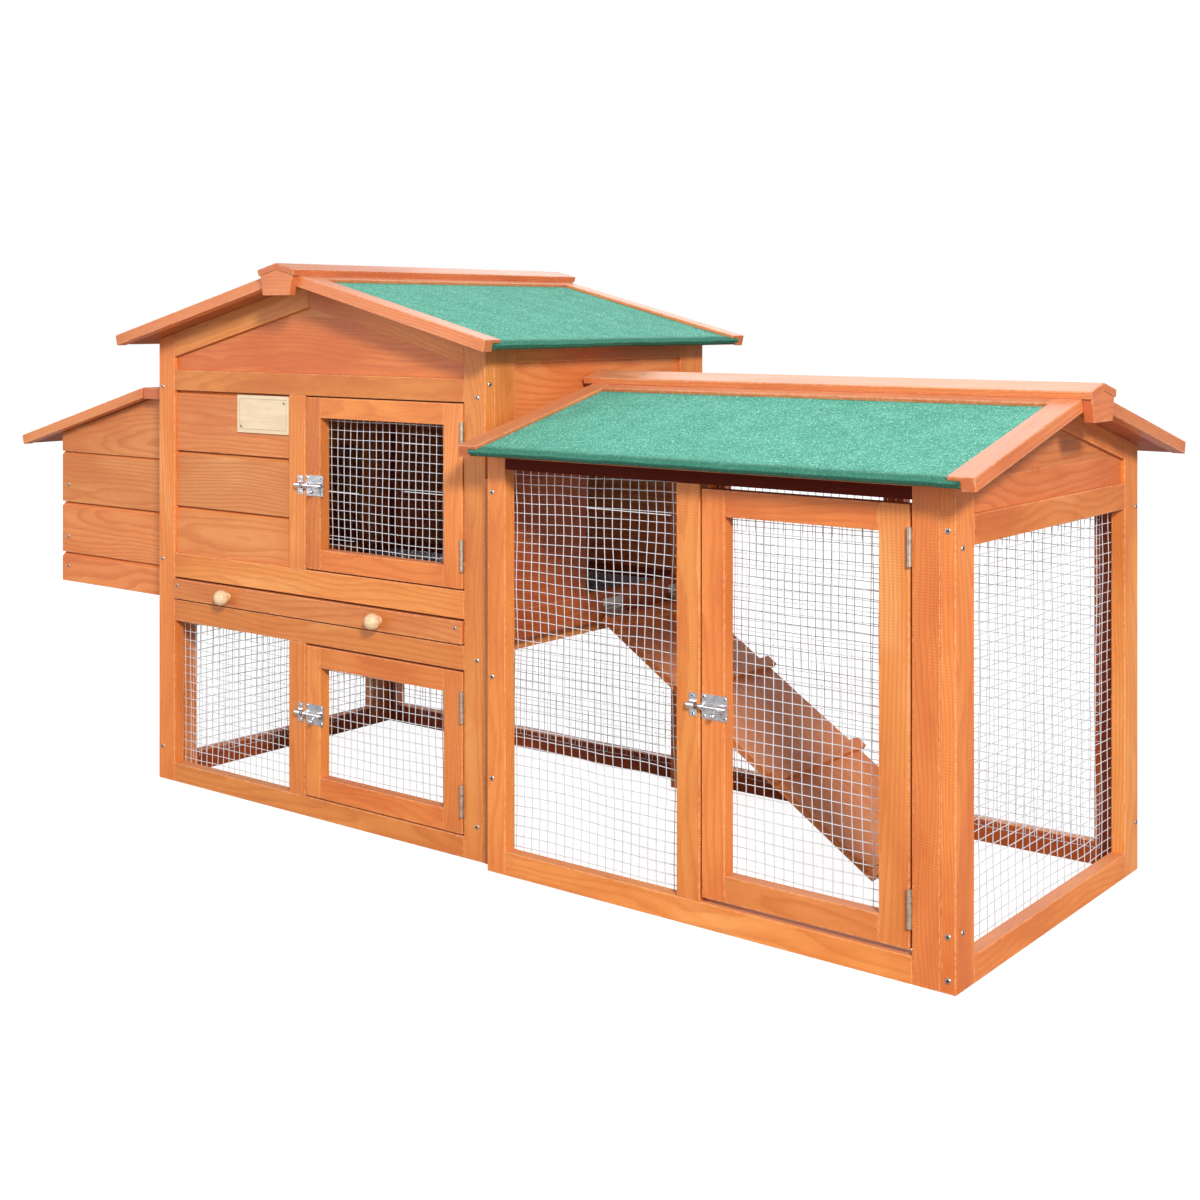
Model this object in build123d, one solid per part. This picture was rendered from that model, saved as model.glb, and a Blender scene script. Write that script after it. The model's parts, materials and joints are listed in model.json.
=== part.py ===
from build123d import *
import os
from math import atan, cos, degrees, radians, sin, tan

# Two-storey rabbit hutch: a house with a gabled roof, a nest box on its left wall, and a low run on its right.
# Millimetres. +X runs from the nest box to the run, +Y to the back, +Z up. The origin is at the bottom centre.

# ---- driving dimensions ----
timber = 18            # thickness of every frame timber
board = 12             # thickness of the cladding boards
board_pitch = 84.5     # height of one cladding board
board_chamfer = 6
board_gap = 1.5        # between one cladding board and the next
pitch = 14             # slope of both gabled roofs, degrees

house_width = 673
house_depth = 498
house_right_x = 175
house_front_y = -245
run_length = 655
run_depth = 520
run_right_x = 851
run_front_y = -264
nest_length = 324
nest_width = 398
nest_bottom_z = 267
nest_front_y = -195

post_width = 37
mullion_width = 34
side_stile = 41
gap_latch = 2          # gap between a door and its frame on the bolt side
gap_hinge = 3          # and on the hinge side
house_latch_stile = 29
house_hinge_stile = 34
run_latch_stile = 32
run_hinge_stile = 37

bottom_rail_z = 28
low_rail_z = (246, 278)
tray_rail_z = (313, 350)
upper_door_z = (352, 596)
lower_door_z = (30, 243)
house_door_rail = 29
top_rail_z = (598, 629)
side_rail_z = (281, 320)
eave_rail_z = 649

run_rail_z = 30
run_header_z = 516
run_stile = 30
run_post = 33
run_end_stile = 44
run_end_rail_z = (467, 500)
run_door_z = (36, 511)
run_door_rail = 31

house_ridge_z = 776    # where the two top planes of the house's barge boards meet
run_ridge_z = 626
house_eave = 380       # ridge to the barge board's tip, level
run_eave = 310
barge_leg = 17
barge_lip = 14
lip_thickness = 5
felt_thickness = 2
panel_thickness = 9
barge_depth = lip_thickness + felt_thickness + panel_thickness
cap_half_width = 36
cap_thickness = 9
block_thickness = 12
house_rake = 36        # plumb height of the raking boards in the gables
run_rake = 26

wire = 1.0
mesh_pitch = 12.7
end_mesh_pitch = 19.5  # across the run's end, where the cells are wider than they are tall
mesh_lap = 12          # how far a mesh laps behind its frame

hinge_height = 42
leaf = 1.0
leaf_depth = 14
knuckle_radius = 2.6
pin_radius = 1.2
bore_radius = 1.25
pin_offset = 3.0       # hinge pin centre in front of the door's face

bolt_radius = 2.6
case_length = 35
case_height = 29
plate = 1.2

doorway_y = (-27, 194)
doorway_z = (320, 490)
ramp_y = (-2, 210)
ramp_angle = 33
ramp_thickness = 12
ramp_pin = (179, 297)
ramp_clear = 8         # board starts this far down the slope from the pin
lid_pin = (-578, 600.8)
lid_slope = 15.2
nest_strip_z = (580, 598)

# ---- places worked out from them ----
house_left_x = house_right_x - house_width
house_back_y = house_front_y + house_depth
house_ridge_x = (house_left_x + house_right_x) / 2
run_left_x = run_right_x - run_length
run_back_y = run_front_y + run_depth
run_ridge_y = (run_front_y + run_back_y) / 2
frame_back_y = house_front_y + timber
bay_left_x = house_left_x + post_width
bay_right_x = house_right_x - post_width
mullion_x = (bay_left_x + 259, bay_left_x + 259 + mullion_width)
house_door_x = (mullion_x[1] + gap_latch, bay_right_x - gap_hinge)
run_mullion_x = (run_left_x + 297, run_left_x + 330)
run_board_x = (run_right_x - timber - run_post, run_right_x - timber)
run_door_x = (run_mullion_x[1] + gap_latch + 1, run_board_x[0] - gap_hinge)
fall = tan(radians(pitch))
roof_drop = (lip_thickness + felt_thickness + panel_thickness) / cos(radians(pitch))
nest_left_x = house_left_x - nest_length
nest_back_y = nest_front_y + nest_width
nest_lid_y = (nest_front_y - 20, nest_back_y + 20)
lid_fall = tan(radians(lid_slope))
tray_x = (bay_left_x + 2, bay_right_x - 2)
tray_y = (house_front_y - 3, house_back_y - timber - 10)
tray_z = (280, 310)
knob_radius = 11.5
knob_stand = 12.5      # ball centre in front of the tray


def box(x, y, z):
    """A box between two X, two Y and two Z values."""
    centre = Pos((x[0] + x[1]) / 2, (y[0] + y[1]) / 2, (z[0] + z[1]) / 2)
    return centre * Box(abs(x[1] - x[0]), abs(y[1] - y[0]), abs(z[1] - z[0]))


def prism_y(points, y):
    """An outline of X, Z points carried from one Y to another."""
    plane = Plane(origin=(0, y[0], 0), x_dir=(1, 0, 0), z_dir=(0, -1, 0))
    face = plane * make_face(Polyline(*points, close=True))
    return extrude(face, amount=y[1] - y[0], dir=(0, 1, 0))


def prism_x(points, x):
    """An outline of Y, Z points carried from one X to another."""
    plane = Plane(origin=(x[0], 0, 0), x_dir=(0, 1, 0), z_dir=(1, 0, 0))
    face = plane * make_face(Polyline(*points, close=True))
    return extrude(face, amount=x[1] - x[0], dir=(1, 0, 0))


def cylinder(centre, direction, radius, length):
    """A cylinder that starts at centre and runs along direction."""
    return extrude(Plane(origin=centre, z_dir=direction) * Circle(radius), amount=length)


def save(name, pieces):
    """Writes one sub-part; each piece stays a solid of its own."""
    solids = [solid for piece in pieces for solid in piece.solids()]
    whole = Compound(label=name, children=solids) if len(solids) > 1 else solids[0]
    export_step(whole, f"parts/{name}.step")


# ---- roof shapes shared by the house, the run and the nest box ----
def slope_outline(ridge, side, top_z, start, end, top, thickness, slope):
    """Section of a slab on a slope: it starts and ends at level distances from the ridge,
    and its top lies the given depth under the barge boards' top plane."""
    angle = radians(slope)

    def point(distance, depth):
        along = distance - depth * sin(angle)
        return (ridge + side * along, top_z - distance * tan(angle) - depth * cos(angle))

    def plumb(distance, depth):
        return (ridge + side * distance, top_z - distance * tan(angle) - depth / cos(angle))

    return [plumb(start, top), point(end, top), point(end, top + thickness), plumb(start, top + thickness)]


def barge_outlines(ridge, side, top_z, end, slope, start=0):
    """The full-depth leg of a barge board and the thin lip that laps over the felt."""
    leg = slope_outline(ridge, side, top_z, start, end, 0, barge_depth, slope)
    lip = slope_outline(ridge, side, top_z, start, end, 0, lip_thickness, slope)
    return leg, lip


def felt_outline(ridge, side, top_z, start, end, slope):
    """Felt on its board, turned down over the board's lower edge."""
    angle = radians(slope)
    under = lip_thickness + felt_thickness
    low = under + panel_thickness
    sheet = slope_outline(ridge, side, top_z, start, end, lip_thickness, felt_thickness, slope)
    inner = end - felt_thickness * cos(angle)

    def point(distance, depth):
        along = distance - depth * sin(angle)
        return (ridge + side * along, top_z - distance * tan(angle) - depth * cos(angle))

    return [sheet[0], sheet[1], point(end, low), point(inner, low), point(inner, under), sheet[3]]


def wall_top(distance, ridge_z):
    """Height of the roof's underside at a level distance from the ridge."""
    return ridge_z - roof_drop - fall * distance


def house_top(x):
    return wall_top(abs(x - house_ridge_x), house_ridge_z)


def run_top(y):
    return wall_top(abs(y - run_ridge_y), run_ridge_z)


def house_post(x, y):
    """A full-height timber whose top follows the house roof."""
    return prism_y([(x[0], 0), (x[1], 0), (x[1], house_top(x[1])), (x[0], house_top(x[0]))], y)


# ---- house frames ----
def house_front_frame():
    y = (house_front_y, frame_back_y)
    bay = (bay_left_x, bay_right_x)
    pieces = [house_post((house_left_x, bay_left_x), y), house_post((bay_right_x, house_right_x), y)]
    for z in ((0, bottom_rail_z), low_rail_z, tray_rail_z, top_rail_z):
        pieces.append(box(bay, y, z))
    pieces.append(box(mullion_x, y, (bottom_rail_z, low_rail_z[0])))
    pieces.append(box(mullion_x, y, (tray_rail_z[1], top_rail_z[0])))
    return pieces


def house_rear_frame():
    y = (house_back_y - timber, house_back_y)
    bay = (bay_left_x, bay_right_x)
    pieces = [house_post((house_left_x, bay_left_x), y), house_post((bay_right_x, house_right_x), y)]
    for z in ((0, run_rail_z), (low_rail_z[0], side_rail_z[1]), top_rail_z):
        pieces.append(box(bay, y, z))
    return pieces


side_front_y = (frame_back_y, frame_back_y + side_stile)
side_back_y = (house_back_y - timber - side_stile, house_back_y - timber)
side_bay_y = (side_front_y[1], side_back_y[0])


def house_side_frames():
    """Left and right wall frames, and the two battens that carry the run."""
    pieces = []
    left = (house_left_x, house_left_x + timber)
    right = (house_right_x - timber, house_right_x)
    for x in (left, right):
        for y in (side_front_y, side_back_y):
            pieces.append(house_post(x, y))
        eave = [(x[0], eave_rail_z), (x[1], eave_rail_z), (x[1], house_top(x[1])), (x[0], house_top(x[0]))]
        pieces.append(prism_y(eave, side_bay_y))
    pieces.append(box(left, side_bay_y, (0, run_rail_z)))
    pieces.append(box(left, side_bay_y, (low_rail_z[0], side_rail_z[1])))
    pieces.append(box(right, side_bay_y, side_rail_z))
    batten_x = (house_right_x, house_right_x + 2 * timber)
    for y in ((run_front_y + timber, run_front_y + 2 * timber), (run_back_y - 2 * timber, run_back_y - timber)):
        pieces.append(box(batten_x, y, (0, 500)))
    return pieces


# ---- cladding ----
def clad_front(x, z, y_face, seams, facing=-1):
    """Horizontal boards between seams, each with a chamfered top edge on its face."""
    levels = [z[0], *seams, z[1]]
    back = y_face - facing * board
    cut = y_face - facing * board_chamfer
    pieces = []
    for low, high in zip(levels, levels[1:]):
        top = high - board_gap if high != z[1] else high
        outline = [(y_face, low), (back, low), (back, top), (cut, top), (y_face, top - board_chamfer)]
        pieces.append(prism_x(outline, x))
    return pieces


def house_front_boards():
    z = (tray_rail_z[1], top_rail_z[0])
    seams = [z[1] - 2 * board_pitch - 7.5, z[1] - board_pitch - 7.5]
    return clad_front((bay_left_x, mullion_x[0]), z, house_front_y + 4, seams)


def house_rear_boards():
    z = (side_rail_z[1], top_rail_z[0])
    seams = [z[0] + board_pitch * i for i in (1, 2, 3)]
    return clad_front((bay_left_x, bay_right_x), z, house_back_y - 4, seams, facing=1)


def gable(y_face, y_back, seam_z):
    """House gable infill: one wide board, and a small one over it at the apex."""
    low = top_rail_z[1]
    reach = (post_width, house_width - post_width)
    edge_z = wall_top(house_width / 2 - reach[0], house_ridge_z) - house_rake
    apex_z = wall_top(0, house_ridge_z) - house_rake
    spread = (apex_z - seam_z) / fall
    left, right = house_left_x + reach[0], house_left_x + reach[1]
    x = house_ridge_x
    wide = [(left, low), (right, low), (right, edge_z), (x + spread, seam_z), (x - spread, seam_z), (left, edge_z)]
    tip = [(x - spread, seam_z), (x + spread, seam_z), (x, apex_z)]
    return [prism_y(wide, (y_face, y_back)), prism_y(tip, (y_face, y_back))]


def run_gable():
    """Infill of the run's end gable."""
    x = (run_right_x - timber + 2, run_right_x - 5)
    low = run_end_rail_z[1]
    left, right = run_front_y + run_end_stile, run_back_y - run_end_stile
    edge_z = run_top(left) - run_rake
    apex_z = run_top(run_ridge_y) - run_rake
    seam_z = low + 36
    spread = (apex_z - seam_z) / fall
    y = run_ridge_y
    lower = [(left, low), (right, low), (right, edge_z), (y + spread, seam_z), (y - spread, seam_z), (left, edge_z)]
    upper = [(y - spread, seam_z), (y + spread, seam_z), (y, apex_z)]
    return [prism_x(lower, x), prism_x(upper, x)]


def gable_boards():
    front = gable(house_front_y + 6, frame_back_y - 2, 708)
    rear = gable(house_back_y - timber + 2, house_back_y - 6, 708)
    return front + rear + run_gable()


def rake_pair(ridge, half, ridge_z, height):
    """Outlines of the two raking boards under a roof, in level and Z."""
    outlines = []
    for side in (-1, 1):
        top_in, top_out = wall_top(0, ridge_z), wall_top(half, ridge_z)
        outlines.append([(ridge, top_in), (ridge + side * half, top_out),
                         (ridge + side * half, top_out - height), (ridge, top_in - height)])
    return outlines


def gable_rakes():
    pieces = []
    for outline in rake_pair(house_ridge_x, house_width / 2 - post_width, house_ridge_z, house_rake):
        pieces.append(prism_y(outline, (house_front_y, frame_back_y)))
        pieces.append(prism_y(outline, (house_back_y - timber, house_back_y)))
    for outline in rake_pair(run_ridge_y, run_depth / 2 - run_end_stile, run_ridge_z, run_rake):
        pieces.append(prism_x(outline, (run_right_x - timber, run_right_x)))
    return pieces


def left_wall_boards():
    """Boards round the way into the nest box."""
    x = (house_left_x + 3, house_left_x + 3 + board)
    opening_y = (nest_front_y + 28, nest_back_y - 28)
    opening_z = (side_rail_z[1], 490)
    return [
        box(x, (side_bay_y[0], opening_y[0]), opening_z),
        box(x, (opening_y[1], side_bay_y[1]), opening_z),
        box(x, side_bay_y, (opening_z[1], opening_z[1] + board_pitch)),
        box(x, side_bay_y, (opening_z[1] + board_pitch, eave_rail_z)),
    ]


def right_wall_boards():
    """Boards round the doorway to the ramp."""
    x = (house_right_x - 5 - board, house_right_x - 5)
    side_y = (side_bay_y[0], doorway_y[0])
    middle_z = (doorway_z[0] + doorway_z[1]) / 2
    return [
        box(x, side_y, (doorway_z[0], middle_z)),
        box(x, side_y, (middle_z, doorway_z[1])),
        box(x, side_bay_y, (doorway_z[1], doorway_z[1] + board_pitch)),
        box(x, side_bay_y, (doorway_z[1] + board_pitch, eave_rail_z)),
    ]


# ---- roofs ----
house_barge_y = (house_front_y - 49, house_back_y + 49)
run_barge_x = (190, 896)


def ends(span):
    """Leg and lip spans of the two barge boards at the ends of a roof."""
    low, high = span
    return (
        ((low, low + barge_leg), (low, low + barge_leg + barge_lip)),
        ((high - barge_leg, high), (high - barge_leg - barge_lip, high)),
    )


def barge_boards():
    pieces = []
    for side in (-1, 1):
        leg, lip = barge_outlines(house_ridge_x, side, house_ridge_z, house_eave, pitch)
        for leg_y, lip_y in ends(house_barge_y):
            pieces.append(prism_y(leg, leg_y) + prism_y(lip, lip_y))
        leg, lip = barge_outlines(run_ridge_y, side, run_ridge_z, run_eave, pitch)
        for leg_x, lip_x in ends(run_barge_x):
            pieces.append(prism_x(leg, leg_x) + prism_x(lip, lip_x))
    return pieces


def inside(span, inset=barge_leg):
    return (span[0] + inset, span[1] - inset)


def roof_panels(ridge, ridge_z, eave, prism, span):
    top = lip_thickness + felt_thickness
    outlines = [slope_outline(ridge, side, ridge_z, 0, eave - 6, top, panel_thickness, pitch) for side in (-1, 1)]
    return [prism(outline, inside(span)) for outline in outlines]


def roof_felt(ridge, ridge_z, eave, prism, span):
    end = eave - 6 + felt_thickness * cos(radians(pitch))
    outlines = [felt_outline(ridge, side, ridge_z, 0, end, pitch) for side in (-1, 1)]
    return [prism(outline, inside(span)) for outline in outlines]


def ridge_battens():
    """Strips on the felt beside each ridge, level with the barge boards."""
    pieces = []
    inset = barge_leg + barge_lip
    for side in (-1, 1):
        house = slope_outline(house_ridge_x, side, house_ridge_z, 0, 54, 0, lip_thickness, pitch)
        pieces.append(prism_y(house, inside(house_barge_y, inset)))
        run = slope_outline(run_ridge_y, side, run_ridge_z, 0, 54, 0, lip_thickness, pitch)
        pieces.append(prism_x(run, inside(run_barge_x, inset)))
    return pieces


def ridge_caps():
    """Two boards over each ridge."""
    pieces = []
    house_y = (house_barge_y[0] - block_thickness, house_barge_y[1] + block_thickness)
    run_x = (house_right_x + 1, run_barge_x[1] + block_thickness + 1)
    for side in (-1, 1):
        house = slope_outline(house_ridge_x, side, house_ridge_z, 0, cap_half_width, -cap_thickness, cap_thickness, pitch)
        pieces.append(prism_y(house, house_y))
        run = slope_outline(run_ridge_y, side, run_ridge_z, 0, cap_half_width, -cap_thickness, cap_thickness, pitch)
        pieces.append(prism_x(run, run_x))
    return pieces


def block_outline(ridge, ridge_z):
    """Five-sided end block, wider at the top, under a cap's end."""
    top, bottom, height = 33, 28, 36
    shoulder = ridge_z - fall * top
    return [(ridge, ridge_z), (ridge + top, shoulder), (ridge + bottom, ridge_z - height),
            (ridge - bottom, ridge_z - height), (ridge - top, shoulder)]


def ridge_blocks():
    house = block_outline(house_ridge_x, house_ridge_z)
    run = block_outline(run_ridge_y, run_ridge_z)
    return [
        prism_y(house, (house_barge_y[0] - block_thickness + 1, house_barge_y[0])),
        prism_y(house, (house_barge_y[1], house_barge_y[1] + block_thickness - 1)),
        prism_x(run, (run_barge_x[1], run_barge_x[1] + block_thickness)),
    ]


# ---- wire mesh ----
def mesh_panel(plane, width, height, pitch_across):
    """Welded mesh: upright wires in one layer, and level wires that lie on them in the next. The
    plane's origin is the panel's centre and its normal points to the second layer."""
    columns = int((width - wire) // pitch_across) + 1
    rows = int((height - wire) // mesh_pitch) + 1
    pieces = []
    for column in range(columns):
        across = (column - (columns - 1) / 2) * pitch_across
        pieces.append(plane * Pos(across, 0, wire / 2) * Box(wire, height, wire))
    for row in range(rows):
        up = (row - (rows - 1) / 2) * mesh_pitch
        pieces.append(plane * Pos(0, up, 1.5 * wire) * Box(width, wire, wire))
    return pieces


def mesh_xz(x, z, y, facing):
    """A mesh on a wall that faces along Y, lapped behind its opening."""
    plane = Plane(origin=((x[0] + x[1]) / 2, y, (z[0] + z[1]) / 2), x_dir=(1, 0, 0), z_dir=(0, facing, 0))
    return mesh_panel(plane, x[1] - x[0] + 2 * mesh_lap, z[1] - z[0] + 2 * mesh_lap, mesh_pitch)


def mesh_yz(y, z, x, facing, pitch_across=mesh_pitch):
    """A mesh on a wall that faces along X."""
    plane = Plane(origin=(x, (y[0] + y[1]) / 2, (z[0] + z[1]) / 2), x_dir=(0, 1, 0), z_dir=(facing, 0, 0))
    return mesh_panel(plane, y[1] - y[0] + 2 * mesh_lap, z[1] - z[0] + 2 * mesh_lap, pitch_across)


# ---- doors, hinges and bolts ----
def door_frame(x, z, y_face, latch_stile, hinge_stile, rail):
    y = (y_face, y_face + timber)
    inner = (x[0] + latch_stile, x[1] - hinge_stile)
    return [
        box((x[0], inner[0]), y, z),
        box((inner[1], x[1]), y, z),
        box(inner, y, (z[0], z[0] + rail)),
        box(inner, y, (z[1] - rail, z[1])),
    ]


def door_mesh(x, z, y_face, latch_stile, hinge_stile, rail):
    opening_x = (x[0] + latch_stile, x[1] - hinge_stile)
    return mesh_xz(opening_x, (z[0] + rail, z[1] - rail), y_face + timber, 1)


def hinge_places(z):
    """Lower ends of a door's two hinges."""
    inset = 24
    return (z[0] + inset, z[1] - inset - hinge_height)


def upright_leaf(pin_x, pin_y, low, side, spans):
    """A leaf that lies in the gap on one side of an upright pin, with knuckles at the spans given
    as fractions of its height."""
    outer = pin_x + side * (gap_hinge / 2)
    inner = outer - side * leaf
    x = (min(outer, inner), max(outer, inner))
    plate_y = (pin_y + knuckle_radius + 0.2, pin_y + knuckle_radius + 0.2 + leaf_depth)
    shape = box(x, plate_y, (low, low + hinge_height))
    for start, end in spans:
        z = (low + start * hinge_height, low + end * hinge_height)
        shape += box(x, (pin_y, plate_y[0] + 0.1), z)
        shape += cylinder((pin_x, pin_y, z[0]), (0, 0, 1), knuckle_radius, z[1] - z[0])
    return shape - cylinder((pin_x, pin_y, low - 1), (0, 0, 1), bore_radius, hinge_height + 2)


def door_leaves(x, z, y_face):
    pin = (x[1] + gap_hinge / 2, y_face - pin_offset)
    return [upright_leaf(*pin, low, -1, [(0.34, 0.66)]) for low in hinge_places(z)]


def post_leaves(x, z, y_face):
    pin = (x[1] + gap_hinge / 2, y_face - pin_offset)
    return [upright_leaf(*pin, low, 1, [(0, 0.33), (0.67, 1)]) for low in hinge_places(z)]


def door_pins(x, z, y_face):
    pin = (x[1] + gap_hinge / 2, y_face - pin_offset)
    return [cylinder((*pin, low), (0, 0, 1), pin_radius, hinge_height) for low in hinge_places(z)]


def bolt_line(y_face):
    """Y of a bolt's centre line, in front of the door."""
    return y_face - plate - bolt_radius - 0.6


def latch_case(x_left, y_face, z_mid):
    """Plate with a slotted half-round housing for the bolt."""
    x = (x_left + 1, x_left + 1 + case_length)
    y = bolt_line(y_face)
    z = (z_mid - case_height / 2, z_mid + case_height / 2)
    shape = box(x, (y_face - plate, y_face), z)
    for start, length in ((1, 3), (case_length - 9, 8)):
        ring = cylinder((x[0] + start, y, z_mid), (1, 0, 0), bolt_radius + 1.6, length)
        ring += box((x[0] + start, x[0] + start + length), (y, y_face - plate),
                    (z_mid - bolt_radius - 1.6, z_mid + bolt_radius + 1.6))
        shape += ring
    return shape - cylinder((x[0] - 1, y, z_mid), (1, 0, 0), bolt_radius + 0.1, case_length + 2)


def bolt(x_left, y_face, z_mid):
    """Round bolt drawn back clear of its keeper, with a ball knob on a short stem."""
    y = bolt_line(y_face)
    start = x_left - 1.5
    rod = cylinder((start, y, z_mid), (1, 0, 0), bolt_radius, case_length + 3)
    knob_x = x_left + 1 + case_length - 13.5
    stem = cylinder((knob_x, y, z_mid), (0, -1, -1.2), 1.6, 9)
    ball = Pos(knob_x, y - 6.4, z_mid - 7.7) * Sphere(3.4)
    return rod + stem + ball


def keeper(x_right, y_face, z_mid):
    """Plate with a bridge that the bolt slides into."""
    x = (x_right - 14, x_right - 3)
    y = bolt_line(y_face)
    half = case_height / 2 - 1
    shape = box(x, (y_face - plate, y_face), (z_mid - half, z_mid + half))
    bridge = bolt_radius + 1.8
    shape += box(x, (y, y_face - plate), (z_mid - bridge, z_mid + bridge))
    shape += cylinder((x[0], y, z_mid), (1, 0, 0), bridge, x[1] - x[0])
    return shape - cylinder((x[0] - 1, y, z_mid), (1, 0, 0), bolt_radius + 0.3, x[1] - x[0] + 2)


upper_latch_z = 471
lower_latch_z = 147
run_latch_z = 259
doors = {
    "upper": (house_door_x, upper_door_z, house_front_y, house_latch_stile, house_hinge_stile, house_door_rail),
    "lower": (house_door_x, lower_door_z, house_front_y, house_latch_stile, house_hinge_stile, house_door_rail),
    "run": (run_door_x, run_door_z, run_front_y, run_latch_stile, run_hinge_stile, run_door_rail),
}
latch_z = {"upper": upper_latch_z, "lower": lower_latch_z, "run": run_latch_z}
keeper_x = {"upper": mullion_x[1], "lower": mullion_x[1], "run": run_mullion_x[1]}


# ---- nest box ----
def lid_plane_z(x, depth=0):
    """Height of the lid's top plane, or of a plane a given depth under it."""
    angle = radians(lid_slope)
    top_x = lid_pin[0] + (knuckle_radius + 0.2) * sin(angle)
    top_z = lid_pin[1] - (knuckle_radius + 0.2) * cos(angle)
    return top_z + (x - top_x) * lid_fall - depth / cos(angle)


def nest_box():
    """Boarded front and back walls, an end wall and a floor."""
    seams = [nest_bottom_z + 48.5 + board_pitch * i for i in range(3)]
    wall_x = (nest_left_x, house_left_x)
    clear = barge_depth + 0.5
    pieces = []
    for face, facing in ((nest_front_y, -1), (nest_back_y, 1)):
        pieces += clad_front(wall_x, (nest_bottom_z, seams[2]), face, seams[:2], facing)
        top = [
            (nest_left_x, seams[2]), (house_left_x, seams[2]), (house_left_x, nest_strip_z[0]),
            (lid_pin[0] + 2, nest_strip_z[0]), (lid_pin[0] + 2, lid_plane_z(lid_pin[0], clear)),
            (nest_left_x, lid_plane_z(nest_left_x, clear)),
        ]
        pieces.append(prism_y(top, (face, face - facing * board)))
    end_y = (nest_front_y + board, nest_back_y - board)
    end_x = (nest_left_x, nest_left_x + board)
    levels = [nest_bottom_z, *seams[:2], lid_plane_z(nest_left_x, clear)]
    for low, high in zip(levels, levels[1:]):
        pieces.append(box(end_x, end_y, (low, high - board_gap if high != levels[-1] else high)))
    pieces.append(box((end_x[1], house_left_x), end_y, (nest_bottom_z, nest_bottom_z + board)))
    return pieces


lid_x_top = lid_pin[0] - 2


def lid_outline(start, end, top, thickness):
    top_z = lid_plane_z(lid_x_top)
    return slope_outline(lid_x_top, -1, top_z, start, end, top, thickness, lid_slope)


lid_reach = lid_x_top + 909


def nest_lid_panel():
    outline = lid_outline(0, lid_reach - 6, lip_thickness + felt_thickness, panel_thickness)
    return [prism_y(outline, inside(nest_lid_y))]


def nest_lid_felt():
    end = lid_reach - 6 + felt_thickness * cos(radians(lid_slope))
    outline = felt_outline(lid_x_top, -1, lid_plane_z(lid_x_top), 0, end, lid_slope)
    return [prism_y(outline, inside(nest_lid_y))]


def nest_lid_trim():
    """Two barge boards and the batten that the hinges sit on."""
    leg = lid_outline(0, lid_reach, 0, barge_depth)
    lip = lid_outline(0, lid_reach, 0, lip_thickness)
    pieces = [prism_y(leg, leg_y) + prism_y(lip, lip_y) for leg_y, lip_y in ends(nest_lid_y)]
    batten = lid_outline(0, 34, 0, lip_thickness)
    pieces.append(prism_y(batten, inside(nest_lid_y, barge_leg + barge_lip)))
    return pieces


def nest_strip():
    """Level board on the house wall that the lid hangs from."""
    return [box((lid_pin[0] + 2, house_left_x), nest_lid_y, nest_strip_z)]


lid_hinge_y = (nest_lid_y[0] + 70, nest_lid_y[1] - 70 - hinge_height)


def level_leaf(pin_x, pin_z, low_y, tilt, side, spans, reach=leaf_depth):
    """A leaf under a level pin along Y. It lies on a surface tilted down by tilt degrees, on the
    +X or -X side of the pin."""
    gap = knuckle_radius + 0.2
    y = (low_y, low_y + hinge_height)
    shape = box((side * gap, side * (gap + reach)), y, (-gap, -gap + leaf))
    for start, end in spans:
        span = (low_y + start * hinge_height, low_y + end * hinge_height)
        shape += box((0, side * (gap + 0.1)), span, (-gap, -gap + leaf))
        shape += cylinder((0, span[0], 0), (0, 1, 0), knuckle_radius, span[1] - span[0])
    shape -= cylinder((0, low_y - 1, 0), (0, 1, 0), bore_radius, hinge_height + 2)
    return Pos(pin_x, 0, pin_z) * Rot(0, side * tilt, 0) * shape


def wall_leaf(pin_x, pin_z, low_y):
    """The ramp hinge's fixed leaf, flat on the wall below the pin's line."""
    x = (house_right_x, house_right_x + leaf)
    y = (low_y, low_y + hinge_height)
    shape = box(x, y, (pin_z - 2, pin_z + 14))
    for start, end in ((0, 0.33), (0.67, 1)):
        span = (low_y + start * hinge_height, low_y + end * hinge_height)
        shape += box((house_right_x, pin_x), span, (pin_z - 0.5, pin_z + 0.5))
        shape += cylinder((pin_x, span[0], pin_z), (0, 1, 0), knuckle_radius, span[1] - span[0])
    return shape - cylinder((pin_x, low_y - 1, pin_z), (0, 1, 0), bore_radius, hinge_height + 2)


ramp_hinge_y = (ramp_y[0] + 6, ramp_y[1] - 6 - hinge_height)


def frame_hinge_leaves():
    """Every hinge leaf that is screwed to the fixed structure."""
    pieces = []
    for x, z, face, *_ in doors.values():
        pieces += post_leaves(x, z, face)
    for low in lid_hinge_y:
        pieces.append(level_leaf(*lid_pin, low, 0, 1, [(0, 0.33), (0.67, 1)]))
    for low in ramp_hinge_y:
        pieces.append(wall_leaf(*ramp_pin, low))
    return pieces


def hinge_pins():
    pieces = []
    for x, z, face, *_ in doors.values():
        pieces += door_pins(x, z, face)
    for pin, places in ((lid_pin, lid_hinge_y), (ramp_pin, ramp_hinge_y)):
        for low in places:
            pieces.append(cylinder((pin[0], low, pin[1]), (0, 1, 0), pin_radius, hinge_height))
    return pieces


# ---- ramp ----
def on_ramp(shape):
    """Turns a shape from the ramp's own frame, X down the slope and Z square to it, about the pin."""
    return Pos(ramp_pin[0], 0, ramp_pin[1]) * Rot(0, ramp_angle, 0) * shape


ramp_top = -(knuckle_radius + 0.2)
ramp_length = (ramp_pin[1] - 1 + (ramp_top - ramp_thickness) * cos(radians(ramp_angle))) / sin(radians(ramp_angle))


def ramp_board():
    return [on_ramp(box((ramp_clear, ramp_length), ramp_y, (ramp_top - ramp_thickness, ramp_top)))]


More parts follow.
